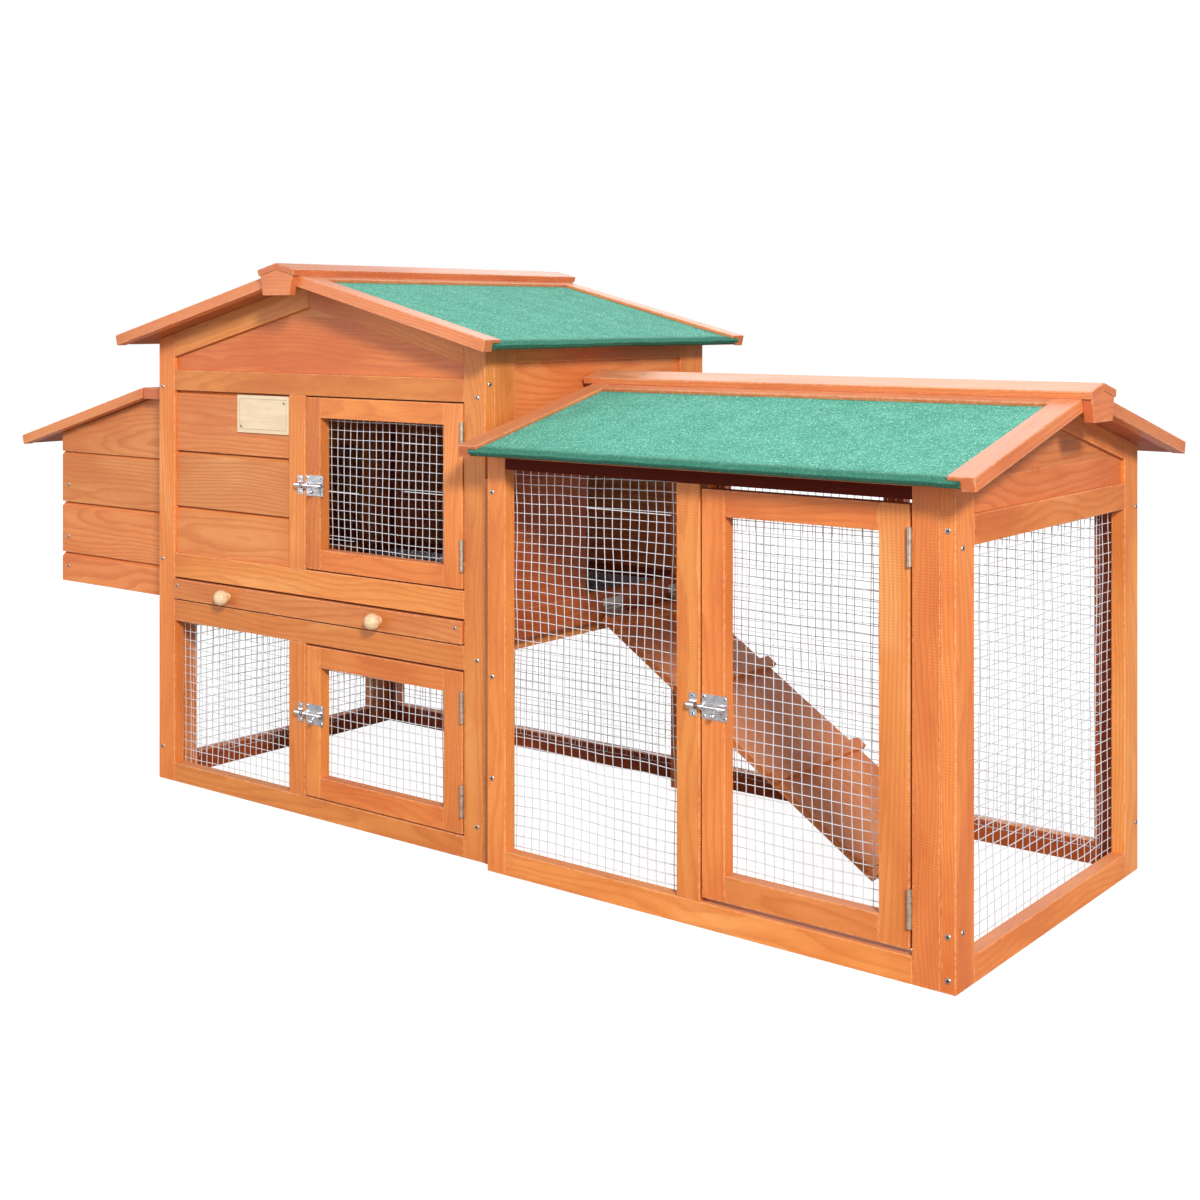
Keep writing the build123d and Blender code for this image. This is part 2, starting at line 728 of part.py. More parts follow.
def ramp_cleats():
    places = (30, 168, 344, 503)
    y = (ramp_y[0] - 8, ramp_y[1] + 8)
    return [on_ramp(box((place - 9, place + 9), y, (ramp_top, ramp_top + 8))) for place in places]


def ramp_leaves():
    return [level_leaf(*ramp_pin, low, ramp_angle, 1, [(0.34, 0.66)]) for low in ramp_hinge_y]


# ---- tray ----
def tray_pan():
    """Folded sheet pan that is the upper floor."""
    x, sheet = tray_x, 1.5
    y = (tray_y[0] + 15, tray_y[1])
    z = (tray_z[0] + 3, tray_z[1] - 4)
    outer = box(x, y, z)
    return [outer - box((x[0] + sheet, x[1] - sheet), (y[0] + sheet, y[1] - sheet), (z[0] + sheet, z[1] + 1))]


def tray_front():
    return [box(tray_x, (tray_y[0], tray_y[0] + 15), tray_z)]


def tray_knobs():
    """Two ball knobs and the two screws at the ends of the tray's front."""
    pieces = []
    z = (tray_z[0] + tray_z[1]) / 2
    for x in (-333, -17.5):
        stem = cylinder((x, tray_y[0], z), (0, -1, 0), 6, knob_stand)
        pieces.append(stem + Pos(x, tray_y[0] - knob_stand, z) * Sphere(knob_radius))
    for x in (tray_x[0] + 8, tray_x[1] - 12):
        pieces.append(cylinder((x, tray_y[0], z + 6), (0, -1, 0), 3.2, 1.5))
    return pieces


def tray_runners():
    """Ledgers along the side walls that the pan slides on."""
    y = (frame_back_y, house_back_y - timber)
    z = (tray_z[0] - 17, tray_z[0] + 2)
    left, right = house_left_x + timber, house_right_x - timber
    return [box((left, left + 40), y, z), box((right - 40, right), y, z)]


# ---- run frames ----
def run_long_frame(y):
    """Stiles, bottom rail, header and mullion of the run's front or back."""
    face = max(abs(y[0] - run_ridge_y), abs(y[1] - run_ridge_y))
    top = wall_top(face, run_ridge_z)
    pieces = [box((run_left_x, run_left_x + run_stile), y, (0, top)), box(run_board_x, y, (0, top))]
    bay = (run_left_x + run_stile, run_board_x[0])
    pieces.append(box(bay, y, (0, run_rail_z)))
    pieces.append(box(bay, y, (run_header_z, top)))
    pieces.append(box(run_mullion_x, y, (run_rail_z, run_header_z)))
    return pieces


def run_end_frame():
    x = (run_right_x - timber, run_right_x)
    pieces = []
    for y in ((run_front_y, run_front_y + run_end_stile), (run_back_y - run_end_stile, run_back_y)):
        pieces.append(prism_x([(y[0], 0), (y[1], 0), (y[1], run_top(y[1])), (y[0], run_top(y[0]))], x))
    bay = (run_front_y + run_end_stile, run_back_y - run_end_stile)
    pieces.append(box(x, bay, (0, run_rail_z)))
    pieces.append(box(x, bay, run_end_rail_z))
    return pieces


# ---- small fixed pieces ----
def plaque():
    x = (mullion_x[0] - 114, mullion_x[0] - 2)
    return [box(x, (house_front_y + 1, house_front_y + 4), (540, 595))]


def screw_heads():
    """Heads of the screws that show in the outer faces."""
    radius, height = 3.2, 1.5
    pieces = []

    def front(x, y, z):
        pieces.append(cylinder((x, y, z), (0, -1, 0), radius, height))

    def end(x, y, z):
        pieces.append(cylinder((x, y, z), (1, 0, 0), radius, height))

    for z in (50, 338, 603):
        front(house_left_x + 9, house_front_y, z)
    for z in (45, 262, 605):
        front(house_right_x - 14, house_front_y, z)
    end(house_right_x, house_front_y + 9, 622)
    for z in (14, 60, 486):
        front(run_right_x - timber / 2, run_front_y, z)
    for z in (62, 467):
        end(run_right_x, run_front_y + 16, z)
        end(run_right_x, run_back_y - 7, z)
    for z in (120, 250, 486):
        front(run_left_x + 8, run_front_y, z)
    for z in (293, 342, 428):
        front(nest_left_x + 18, nest_front_y, z)
    return pieces


def main():
    os.makedirs("parts", exist_ok=True)
    save("house_front_frame", house_front_frame())
    save("house_rear_frame", house_rear_frame())
    save("house_side_frames", house_side_frames())
    save("house_front_boards", house_front_boards())
    save("house_rear_boards", house_rear_boards())
    save("left_wall_boards", left_wall_boards())
    save("right_wall_boards", right_wall_boards())
    save("gable_boards", gable_boards())
    save("gable_rakes", gable_rakes())

    house_roof = (house_ridge_x, house_ridge_z, house_eave, prism_y, house_barge_y)
    run_roof = (run_ridge_y, run_ridge_z, run_eave, prism_x, run_barge_x)
    save("house_roof_panels", roof_panels(*house_roof))
    save("run_roof_panels", roof_panels(*run_roof))
    save("house_roof_felt", roof_felt(*house_roof))
    save("run_roof_felt", roof_felt(*run_roof))
    save("barge_boards", barge_boards())
    save("ridge_battens", ridge_battens())
    save("ridge_caps", ridge_caps())
    save("ridge_blocks", ridge_blocks())

    low_z = (bottom_rail_z, low_rail_z[0])
    run_z = (run_rail_z, run_header_z)
    run_bay = (run_left_x + run_stile, run_board_x[0])
    end_bay = (run_front_y + run_end_stile, run_back_y - run_end_stile)
    side_z = (run_rail_z, low_rail_z[0])
    save("house_front_mesh", mesh_xz((bay_left_x, mullion_x[0]), low_z, frame_back_y, 1))
    save("house_rear_mesh", mesh_xz((bay_left_x, bay_right_x), side_z, house_back_y - timber, -1))
    save("house_left_mesh", mesh_yz(side_bay_y, side_z, house_left_x + timber, 1))
    save("run_front_mesh", mesh_xz((run_bay[0], run_mullion_x[0]), run_z, run_front_y + timber, 1))
    save("run_rear_mesh", mesh_xz(run_bay, run_z, run_back_y - timber, -1))
    end_z = (run_rail_z, run_end_rail_z[0])
    save("run_end_mesh", mesh_yz(end_bay, end_z, run_right_x - timber, -1, end_mesh_pitch))

    for name, door in doors.items():
        x, z, face = door[:3]
        save(f"{name}_door_frame", door_frame(*door))
        save(f"{name}_door_mesh", door_mesh(*door))
        save(f"{name}_door_leaves", door_leaves(x, z, face))
        save(f"{name}_latch_case", [latch_case(x[0], face, latch_z[name])])
        save(f"{name}_bolt", [bolt(x[0], face, latch_z[name])])
    save("bolt_keepers", [keeper(keeper_x[name], doors[name][2], latch_z[name]) for name in doors])
    save("frame_hinge_leaves", frame_hinge_leaves())
    save("hinge_pins", hinge_pins())

    save("tray_pan", tray_pan())
    save("tray_front", tray_front())
    save("tray_knobs", tray_knobs())
    save("tray_runners", tray_runners())

    save("nest_box", nest_box())
    save("nest_strip", nest_strip())
    save("nest_lid_panel", nest_lid_panel())
    save("nest_lid_felt", nest_lid_felt())
    save("nest_lid_trim", nest_lid_trim())
    lid_leaves = [level_leaf(*lid_pin, low, lid_slope, -1, [(0.34, 0.66)]) for low in lid_hinge_y]
    save("nest_lid_leaves", lid_leaves)

    save("ramp_board", ramp_board())
    save("ramp_cleats", ramp_cleats())
    save("ramp_leaves", ramp_leaves())

    save("run_front_frame", run_long_frame((run_front_y, run_front_y + timber)))
    save("run_rear_frame", run_long_frame((run_back_y - timber, run_back_y)))
    save("run_end_frame", run_end_frame())
    save("plaque", plaque())
    save("screw_heads", screw_heads())


main()
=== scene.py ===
import json
import math
import random

import bmesh
import bpy
from mathutils import Matrix, Vector

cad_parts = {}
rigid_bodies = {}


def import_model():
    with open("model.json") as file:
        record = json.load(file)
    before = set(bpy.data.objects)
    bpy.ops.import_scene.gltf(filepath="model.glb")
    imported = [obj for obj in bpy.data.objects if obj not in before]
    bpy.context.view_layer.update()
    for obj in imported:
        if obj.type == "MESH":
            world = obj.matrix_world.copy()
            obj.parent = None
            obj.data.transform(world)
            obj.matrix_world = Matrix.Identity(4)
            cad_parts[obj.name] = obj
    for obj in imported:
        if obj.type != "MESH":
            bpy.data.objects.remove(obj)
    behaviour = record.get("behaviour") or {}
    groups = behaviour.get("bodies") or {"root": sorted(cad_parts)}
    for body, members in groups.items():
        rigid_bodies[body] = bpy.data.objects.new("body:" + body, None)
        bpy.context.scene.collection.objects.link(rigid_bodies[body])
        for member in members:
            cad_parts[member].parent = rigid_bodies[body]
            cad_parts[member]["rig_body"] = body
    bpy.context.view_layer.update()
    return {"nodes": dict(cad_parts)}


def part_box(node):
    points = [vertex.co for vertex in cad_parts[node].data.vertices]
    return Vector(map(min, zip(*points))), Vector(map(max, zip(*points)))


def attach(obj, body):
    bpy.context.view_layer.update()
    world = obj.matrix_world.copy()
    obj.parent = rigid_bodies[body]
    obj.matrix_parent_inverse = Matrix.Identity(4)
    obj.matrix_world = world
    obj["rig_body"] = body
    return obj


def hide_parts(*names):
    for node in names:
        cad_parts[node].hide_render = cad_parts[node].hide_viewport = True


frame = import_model()
nodes = frame["nodes"]
print("frame loaded:", len(nodes), "CAD nodes")

view = {
    "place": (1.6505, -1.8932, 0.7126),
    "turn": 37.966,       # degrees to the left of straight back
    "lens": 50.977,
    "shiftY": -0.2375,
}


def makeCamera():
    data = bpy.data.cameras.new("camera")
    data.lens = view["lens"]
    data.sensor_width = 36.0
    data.shift_y = view["shiftY"]
    camera = bpy.data.objects.new("camera", data)
    camera.location = view["place"]
    camera.rotation_euler = (math.radians(90), 0, math.radians(view["turn"]))
    bpy.context.scene.collection.objects.link(camera)
    bpy.context.scene.camera = camera


studio = {
    "floorSize": 60.0,
    "backdrop": 1.0,        # what the camera sees behind the hutch
    "skyStrength": 0.52,    # what lights the hutch
    "floorGlow": 0.94,      # keeps the floor pale where the hutch shades it
    "floorShade": 0.22,
    "floorDrop": 0.0005,    # keeps it clear of the hutch's feet
    "floorBounce": 0.42,
    "keyPower": 480.0,
    "keyPlace": (5.0, -4.0, 3.5),
    "keySize": 0.9,
    "fillPower": 62.0,
    "fillPlace": (-3.2, -4.2, 1.8),
    "fillSize": 3.0,
    "backPower": 60.0,
    "backPlace": (-2.0, 4.2, 3.2),
    "backSize": 3.0,
}


def makeAreaLight(name, place, power, size, target=(0.1, 0, 0.3)):
    data = bpy.data.lights.new(name, "AREA")
    data.energy = power
    data.size = size
    light = bpy.data.objects.new(name, data)
    light.location = place
    aim = Vector(target) - Vector(place)
    light.rotation_euler = aim.to_track_quat("-Z", "Y").to_euler()
    bpy.context.scene.collection.objects.link(light)


# The camera sees a white backdrop, while the hutch is lit by a dimmer sky.
def makeSky():
    world = bpy.data.worlds.new("studio sky")
    bpy.context.scene.world = world
    world.use_nodes = True
    tree = world.node_tree
    sky = tree.nodes["Background"]
    sky.inputs["Color"].default_value = (1.0, 1.0, 1.0, 1)
    sky.inputs["Strength"].default_value = studio["skyStrength"]
    backdrop = tree.nodes.new("ShaderNodeBackground")
    backdrop.inputs["Color"].default_value = (1.0, 1.0, 1.0, 1)
    backdrop.inputs["Strength"].default_value = studio["backdrop"]
    seen = tree.nodes.new("ShaderNodeLightPath")
    mix = tree.nodes.new("ShaderNodeMixShader")
    tree.links.new(seen.outputs["Is Camera Ray"], mix.inputs[0])
    tree.links.new(sky.outputs[0], mix.inputs[1])
    tree.links.new(backdrop.outputs[0], mix.inputs[2])
    tree.links.new(mix.outputs[0], tree.nodes["World Output"].inputs[0])


def makeFloor():
    half = studio["floorSize"] / 2
    mesh = bpy.data.meshes.new("floor")
    corners = [(-half, -half, 0), (half, -half, 0), (half, half, 0), (-half, half, 0)]
    mesh.from_pydata(corners, [], [(0, 1, 2, 3)])
    floor = bpy.data.objects.new("floor", mesh)
    bpy.context.scene.collection.objects.link(floor)
    floor.location.z = -studio["floorDrop"]
    paper = bpy.data.materials.new("pale floor")
    paper.use_nodes = True
    tree = paper.node_tree
    shader = tree.nodes["Principled BSDF"]
    shader.inputs["Roughness"].default_value = 0.9
    shader.inputs["Specular IOR Level"].default_value = 0.1
    shader.inputs["Emission Color"].default_value = (1, 1, 1, 1)
    seen = tree.nodes.new("ShaderNodeLightPath").outputs["Is Camera Ray"]
    tone = tree.nodes.new("ShaderNodeMapRange")
    tone.inputs["To Min"].default_value = studio["floorBounce"]
    tone.inputs["To Max"].default_value = studio["floorShade"]
    glow = tree.nodes.new("ShaderNodeMath")
    glow.operation = "MULTIPLY"
    glow.inputs[1].default_value = studio["floorGlow"]
    tree.links.new(seen, tone.inputs["Value"])
    tree.links.new(seen, glow.inputs[0])
    tree.links.new(tone.outputs[0], shader.inputs["Base Color"])
    tree.links.new(glow.outputs[0], shader.inputs["Emission Strength"])
    mesh.materials.append(paper)


makeCamera()
makeSky()
makeFloor()
makeAreaLight("key light", studio["keyPlace"], studio["keyPower"], studio["keySize"])
makeAreaLight("fill light", studio["fillPlace"], studio["fillPower"], studio["fillSize"])
makeAreaLight("back light", studio["backPlace"], studio["backPower"], studio["backSize"])
bpy.context.scene.view_settings.view_transform = "Standard"
bpy.context.scene.view_settings.look = "None"
print("camera, light and floor ready")


# A node tree that is wired with few words: inputs take values or sockets.
class Tree:

    def __init__(self, tree):
        self.tree = tree

    def add(self, kind, **inputs):
        return self.fill(self.tree.nodes.new(kind), **inputs)

    def fill(self, node, **inputs):
        for key, value in inputs.items():
            name = key.replace("_", " ")
            socket = node.inputs[int(name[2:])] if name.startswith("in") else node.inputs[name]
            self.plug(socket, value)
        return node

    def plug(self, socket, value):
        if isinstance(value, bpy.types.NodeSocket):
            self.tree.links.new(value, socket)
        else:
            socket.default_value = value

    def math(self, operation, a, b=None, c=None):
        node = self.tree.nodes.new("ShaderNodeMath")
        node.operation = operation
        for socket, value in zip(node.inputs, (a, b, c)):
            if value is not None:
                self.plug(socket, value)
        return node.outputs[0]

    def by(self, a, b):
        return self.math("MULTIPLY", a, b)

    def vector(self, operation, a, b=None):
        node = self.tree.nodes.new("ShaderNodeVectorMath")
        node.operation = operation
        self.plug(node.inputs[0], a)
        if b is not None:
            self.plug(node.inputs[1], b)
        return node.outputs["Vector"]

    def noise(self, vector, scale, detail=2.0, roughness=0.5):
        node = self.add("ShaderNodeTexNoise", Vector=vector, Scale=scale, Detail=detail, Roughness=roughness)
        return node.outputs[0]

    def cells(self, vector, scale):
        node = self.add("ShaderNodeTexVoronoi", Vector=vector, Scale=scale)
        return self.split(node.outputs["Color"]), node.outputs["Distance"]

    def remap(self, value, low, high, toLow=0.0, toHigh=1.0, smooth=True):
        node = self.tree.nodes.new("ShaderNodeMapRange")
        node.interpolation_type = "SMOOTHSTEP" if smooth else "LINEAR"
        for name, number in (("Value", value), ("From Min", low), ("From Max", high), ("To Min", toLow),
                             ("To Max", toHigh)):
            self.plug(node.inputs[name], number)
        return node.outputs[0]

    def mix(self, factor, a, b, blend="MIX"):
        node = self.tree.nodes.new("ShaderNodeMix")
        node.data_type = "RGBA"
        node.blend_type = blend
        colours = [s for s in node.inputs if s.type == "RGBA"]
        self.plug(node.inputs[0], factor)
        self.plug(colours[0], a)
        self.plug(colours[1], b)
        return [s for s in node.outputs if s.type == "RGBA"][0]

    def times(self, colour, factor):
        return self.mix(1.0, colour, self.join(factor, factor, factor), "MULTIPLY")

    def split(self, vector):
        node = self.add("ShaderNodeSeparateXYZ", in0=vector)
        return node.outputs[0], node.outputs[1], node.outputs[2]

    def join(self, x, y, z):
        return self.add("ShaderNodeCombineXYZ", in0=x, in1=y, in2=z).outputs[0]

    def attribute(self, name, output="Fac"):
        node = self.tree.nodes.new("ShaderNodeAttribute")
        node.attribute_name = name
        return node.outputs[output]

    def bump(self, height, strength, distance):
        node = self.add("ShaderNodeBump", Strength=strength, Distance=distance, Height=height)
        return node.outputs["Normal"]


def newGroup(name, inputs, outputs):
    group = bpy.data.node_groups.new(name, "ShaderNodeTree")
    for label, kind, value in inputs:
        socket = group.interface.new_socket(name=label, in_out="INPUT", socket_type="NodeSocket" + kind)
        if value is not None:
            socket.default_value = value
    for label, kind in outputs:
        group.interface.new_socket(name=label, in_out="OUTPUT", socket_type="NodeSocket" + kind)
    start = group.nodes.new("NodeGroupInput")
    end = group.nodes.new("NodeGroupOutput")
    return group, Tree(group), start.outputs, end.inputs


def newMaterial(name, roughness=0.5, metallic=0.0):
    material = bpy.data.materials.new(name)
    material.use_nodes = True
    shader = material.node_tree.nodes["Principled BSDF"]
    shader.inputs["Roughness"].default_value = roughness
    shader.inputs["Metallic"].default_value = metallic
    return material, Tree(material.node_tree), shader


def useGroup(tree, group, **inputs):
    node = tree.tree.nodes.new("ShaderNodeGroup")
    node.node_tree = group
    return tree.fill(node, **inputs)


grain = {
    "knotsAlong": 5.2,        # knot cells in a metre of board
    "knotsAcross": 7.5,
    "slowBend": 0.040,        # metres that the rings stray over a board's length
    "quickBend": 0.005,
    "pithSide": 0.09,
    "pithDepth": (0.035, 0.095),
    "sawTeeth": 1900.0,       # radians in a metre
}


# Fir grain from growth rings round a pith line that lies outside the board.
def makeGrainGroup():
    group, t, given, result = newGroup(
        "fir grain",
        [("Place", "Vector", None), ("Board", "Float", 0.5),
         ("Rings", "Float", 210.0), ("Knots", "Float", 0.25)],
        [("Line", "Float"), ("Knot", "Float"), ("Halo", "Float"),
         ("Blotch", "Float"), ("Fibre", "Float"), ("Saw", "Float")])
    board = given["Board"]
    shift = t.join(*[t.by(board, apart) for apart in (71.0, 23.0, 11.0)])
    place = t.vector("ADD", given["Place"], shift)
    _, across, through = t.split(given["Place"])
    x, y, z = t.split(place)

    # knots: a few of the sparse cells on the board's wide face
    spot = t.join(t.by(x, grain["knotsAlong"]), t.by(y, grain["knotsAcross"]),
                  t.math("FLOOR", z))
    pick, distance = t.cells(spot, 1.0)
    chosen = t.math("LESS_THAN", pick[0], given["Knots"])
    away = t.math("DIVIDE", distance, t.math("MULTIPLY_ADD", pick[1], 0.5, 0.6))
    bend = t.by(t.remap(away, 0.34, 0.0), chosen)
    t.plug(result["Knot"], t.by(t.remap(away, 0.058, 0.036), chosen))
    t.plug(result["Halo"], t.by(t.remap(away, 0.15, 0.05), chosen))

    # the rings stray slowly and quickly along the board
    slow = t.vector("MULTIPLY", place, (2.6, 9.0, 9.0))
    quick = t.vector("MULTIPLY", place, (11.0, 60.0, 60.0))
    slowShift = t.by(t.math("SUBTRACT", t.noise(slow, 1.0, 1.0), 0.5), grain["slowBend"])
    quickShift = t.by(t.math("SUBTRACT", t.noise(quick, 1.0, 2.0), 0.5), grain["quickBend"])
    stray = t.math("ADD", slowShift, quickShift)
    side = t.math("SUBTRACT", t.math("FRACT", t.by(board, 17.3)), 0.5)
    near, far = grain["pithDepth"]
    depth = t.remap(t.math("FRACT", t.by(board, 41.7)), 0.0, 1.0, near, far, smooth=False)
    a = t.math("ADD", t.math("SUBTRACT", across, t.by(side, grain["pithSide"])),
               t.by(stray, 0.6))
    b = t.math("ADD", t.math("ADD", through, depth), stray)
    radius = t.math("SQRT", t.math("ADD", t.by(a, a), t.by(b, b)))
    bent = t.math("ADD", radius, t.by(t.by(bend, bend), 0.016))
    ring = t.math("FRACT", t.by(bent, given["Rings"]))
    t.plug(result["Line"], t.by(t.remap(ring, 0.35, 0.86), t.remap(ring, 0.90, 1.0, 1.0, 0.0)))

    t.plug(result["Blotch"], t.noise(t.vector("MULTIPLY", place, (4.0, 13.0, 13.0)), 1.0, 3.0, 0.55))
    t.plug(result["Fibre"], t.noise(t.vector("MULTIPLY", place, (45.0, 1400.0, 1400.0)), 1.0, 2.0, 0.6))
    patch = t.remap(t.noise(t.vector("MULTIPLY", place, (7.0, 16.0, 16.0)), 1.0, 1.0), 0.42, 0.62)
    phase = t.math("MULTIPLY_ADD", t.noise(slow, 1.5, 1.0), 9.0, t.by(x, grain["sawTeeth"]))
    t.plug(result["Saw"], t.by(t.math("SINE", phase), patch))
    return group


# A mask along a board's edges and near its ends, broken up by noise.
def makeWearGroup():
    group, t, given, result = newGroup(
        "edge wear",
        [("Place", "Vector", None), ("Half", "Vector", None),
         ("Reach", "Float", 0.0035), ("Board", "Float", 0.5)],
        [("Edge", "Float"), ("End", "Float")])
    gap = t.vector("SUBTRACT", given["Half"], t.vector("ABSOLUTE", given["Place"]))
    x, y, z = t.split(gap)
    total = t.math("ADD", t.math("ADD", x, y), z)
    least = t.math("MINIMUM", t.math("MINIMUM", x, y), z)
    most = t.math("MAXIMUM", t.math("MAXIMUM", x, y), z)
    second = t.math("SUBTRACT", t.math("SUBTRACT", total, least), most)
    shift = t.join(t.by(given["Board"], 31.0), given["Board"], given["Board"])
    rough = t.noise(t.vector("ADD", given["Place"], shift), 160.0, 3.0, 0.6)
    reach = t.by(given["Reach"], t.remap(rough, 0.35, 0.75, 0.1, 1.2))
    t.plug(result["Edge"], t.remap(second, reach, t.by(reach, 0.25)))
    t.plug(result["End"], t.remap(x, 0.045, 0.0))
    return group


# How much of the sky a face looks up at; it masks the painted sheen on upward faces.
def makeTopGroup():
    group, t, _, result = newGroup("looks up", [], [("Mask", "Float")])
    normal = t.split(t.tree.nodes.new("ShaderNodeNewGeometry").outputs["Normal"])
    t.plug(result["Mask"], t.remap(normal[2], 0.55, 0.95))
    return group


# Fine stone granules: masks of light and dark ones, a shade and a height.
def makeGranuleGroup():
    group, t, given, result = newGroup(
        "granules",
        [("Place", "Vector", None), ("Size", "Float", 900.0)],
        [("Light", "Float"), ("Dark", "Float"), ("Shade", "Float"),
         ("Height", "Float")])
    pick, distance = t.cells(given["Place"], given["Size"])
    t.plug(result["Light"], t.remap(pick[0], 0.80, 0.97))
    t.plug(result["Dark"], t.remap(pick[1], 0.74, 0.94))
    t.plug(result["Shade"], pick[2])
    t.plug(result["Height"], t.math("SUBTRACT", 1.0, distance))
    return group


grainGroup = makeGrainGroup()
wearGroup = makeWearGroup()
topGroup = makeTopGroup()
granuleGroup = makeGranuleGroup()

# Each stain's sheen share sets how strongly upward faces are lightened with a painted sheen.
stains = {
    "frame timber": dict(
        base=(0.735, 0.232, 0.050), pale=(0.860, 0.360, 0.120), deep=(0.560, 0.125, 0.020),
        worn=(0.900, 0.430, 0.190), rings=250, lines=0.42, saw=0.055, knots=0.18, bleach=0.15, rough=0.46),
    "cladding boards": dict(
        base=(0.735, 0.245, 0.068), pale=(0.850, 0.370, 0.140), deep=(0.600, 0.145, 0.032),
        worn=(0.880, 0.420, 0.190), rings=210, lines=0.62, saw=0.018, knots=0.26, bleach=0.15, rough=0.42),
    "roof trim": dict(
        base=(0.720, 0.230, 0.080), pale=(0.830, 0.360, 0.170), deep=(0.540, 0.125, 0.035),
        worn=(0.900, 0.480, 0.290), rings=250, lines=0.42, saw=0.030, knots=0.14, bleach=0.18, rough=0.38),
    "hidden boards": dict(
        base=(0.500, 0.130, 0.030), pale=(0.640, 0.230, 0.070), deep=(0.300, 0.060, 0.014),
        worn=(0.620, 0.240, 0.100), rings=210, lines=0.25, saw=0.030, knots=0.20, bleach=0.0, rough=0.55),
}

woodTouches = {
    # the pale pink of the painted sheen on upward faces
    "bleached": (0.940, 0.500, 0.330, 1),
    "knot": (0.240, 0.055, 0.012, 1),
    "halo": (0.520, 0.125, 0.022, 1),
    "boardShade": (0.88, 1.10),    # darkest and lightest board
    "boardWarmth": (0.90, 1.12),   # its green and blue against its red
    "relief": 0.0003,              # metres
}


def makeWood(name, stain):
    material, t, shader = newMaterial(name, stain["rough"])
    place, half, board = t.attribute("place", "Vector"), t.attribute("half", "Vector"), t.attribute("board")
    fir = useGroup(t, grainGroup, Place=place, Board=board, Rings=float(stain["rings"]), Knots=stain["knots"])
    wear = useGroup(t, wearGroup, Place=place, Half=half, Board=board)
    line, saw = fir.outputs["Line"], fir.outputs["Saw"]
    base, pale, deep, edge = [(*stain[key], 1) for key in ("base", "pale", "deep", "worn")]
    soaked = t.mix(t.remap(fir.outputs["Blotch"], 0.44, 0.72, 0.0, 0.70), base, deep)
    patchy = t.mix(t.remap(fir.outputs["Blotch"], 0.44, 0.24, 0.0, 0.55), soaked, pale)
    lined = t.mix(t.by(line, stain["lines"]), patchy, deep)
    silky = t.times(lined, t.remap(fir.outputs["Fibre"], 0.30, 0.70, 0.90, 1.08, smooth=False))
    sawn = t.times(silky, t.math("MULTIPLY_ADD", saw, stain["saw"], 1.0))

    def vary(spread, limits):
        share = t.math("FRACT", t.by(board, spread))
        return t.remap(share, 0.0, 1.0, *limits, smooth=False)

    shade = vary(53.1, woodTouches["boardShade"])
    cast = vary(29.9, woodTouches["boardWarmth"])
    tint = t.join(shade, t.by(shade, cast), t.by(shade, cast))
    toned = t.mix(1.0, sawn, tint, "MULTIPLY")
    ends = t.mix(t.by(t.attribute("endGrain"), 0.60), toned, deep)
    stained = t.mix(t.by(wear.outputs["End"], 0.22), ends, deep)
    worn = t.mix(t.by(wear.outputs["Edge"], 0.34), stained, edge)
    # Painted sheen: upward faces are lightened towards pale pink, standing in for the sky's glancing
    # reflection.
    up = useGroup(t, topGroup).outputs["Mask"]
    bleached = t.mix(t.by(up, stain["bleach"]), worn, woodTouches["bleached"])
    ringed = t.mix(t.by(fir.outputs["Halo"], 0.45), bleached, woodTouches["halo"])
    knotted = t.mix(t.by(fir.outputs["Knot"], 0.70), ringed, woodTouches["knot"])
    # Painted shade: the tone attribute darkens and reddens the header, inward faces, gable and sheltered
    # wall, and dulls their specular.
    tone = t.attribute("tone")
    paintedShadeTint = t.join(tone, t.math("POWER", tone, 1.7), t.math("POWER", tone, 2.0))
    t.plug(shader.inputs["Base Color"], t.mix(1.0, knotted, paintedShadeTint, "MULTIPLY"))
    t.plug(shader.inputs["Specular IOR Level"], t.by(tone, 0.5))
    gloss = t.math("MULTIPLY_ADD", line, -0.06, stain["rough"] + 0.03)
    t.plug(shader.inputs["Roughness"], t.math("ADD", gloss, t.by(wear.outputs["Edge"], 0.12)))
    height = t.math("MULTIPLY_ADD", line, 0.40, t.by(fir.outputs["Fibre"], 0.30))
    height = t.math("ADD", height, t.by(saw, stain["saw"] * 6))
    t.plug(shader.inputs["Normal"], t.bump(height, 0.5, woodTouches["relief"]))
    return material


feltLook = {
    "size": 780.0,
    "base": ((0.052, 0.340, 0.225, 1), (0.100, 0.450, 0.320, 1)),
    "shade": (0.200, 0.640, 0.510, 1),
    "light": (0.560, 0.950, 0.840, 1),
    "dark": (0.018, 0.190, 0.120, 1),
    "rolled": (0.010, 0.120, 0.070, 1),
}


def makeFelt():
    material, t, shader = newMaterial("roofing felt", 0.9)
    place = t.add("ShaderNodeTexCoord").outputs["Object"]
    stone = useGroup(t, granuleGroup, Place=place, Size=feltLook["size"])
    base = t.mix(t.remap(t.noise(place, 26.0, 4.0, 0.65), 0.35, 0.68), *feltLook["base"])
    varied = t.mix(t.by(stone.outputs["Shade"], 0.45), base, feltLook["shade"])
    light = t.mix(t.by(stone.outputs["Light"], 0.72), varied, feltLook["light"])
    dark = t.mix(t.by(stone.outputs["Dark"], 0.80), light, feltLook["dark"])
    rolled = t.mix(t.by(t.attribute("rolled"), 0.78), dark, feltLook["rolled"])
    t.plug(shader.inputs["Base Color"], rolled)
    t.plug(shader.inputs["Normal"], t.bump(stone.outputs["Height"], 0.7, 0.0007))
    return material


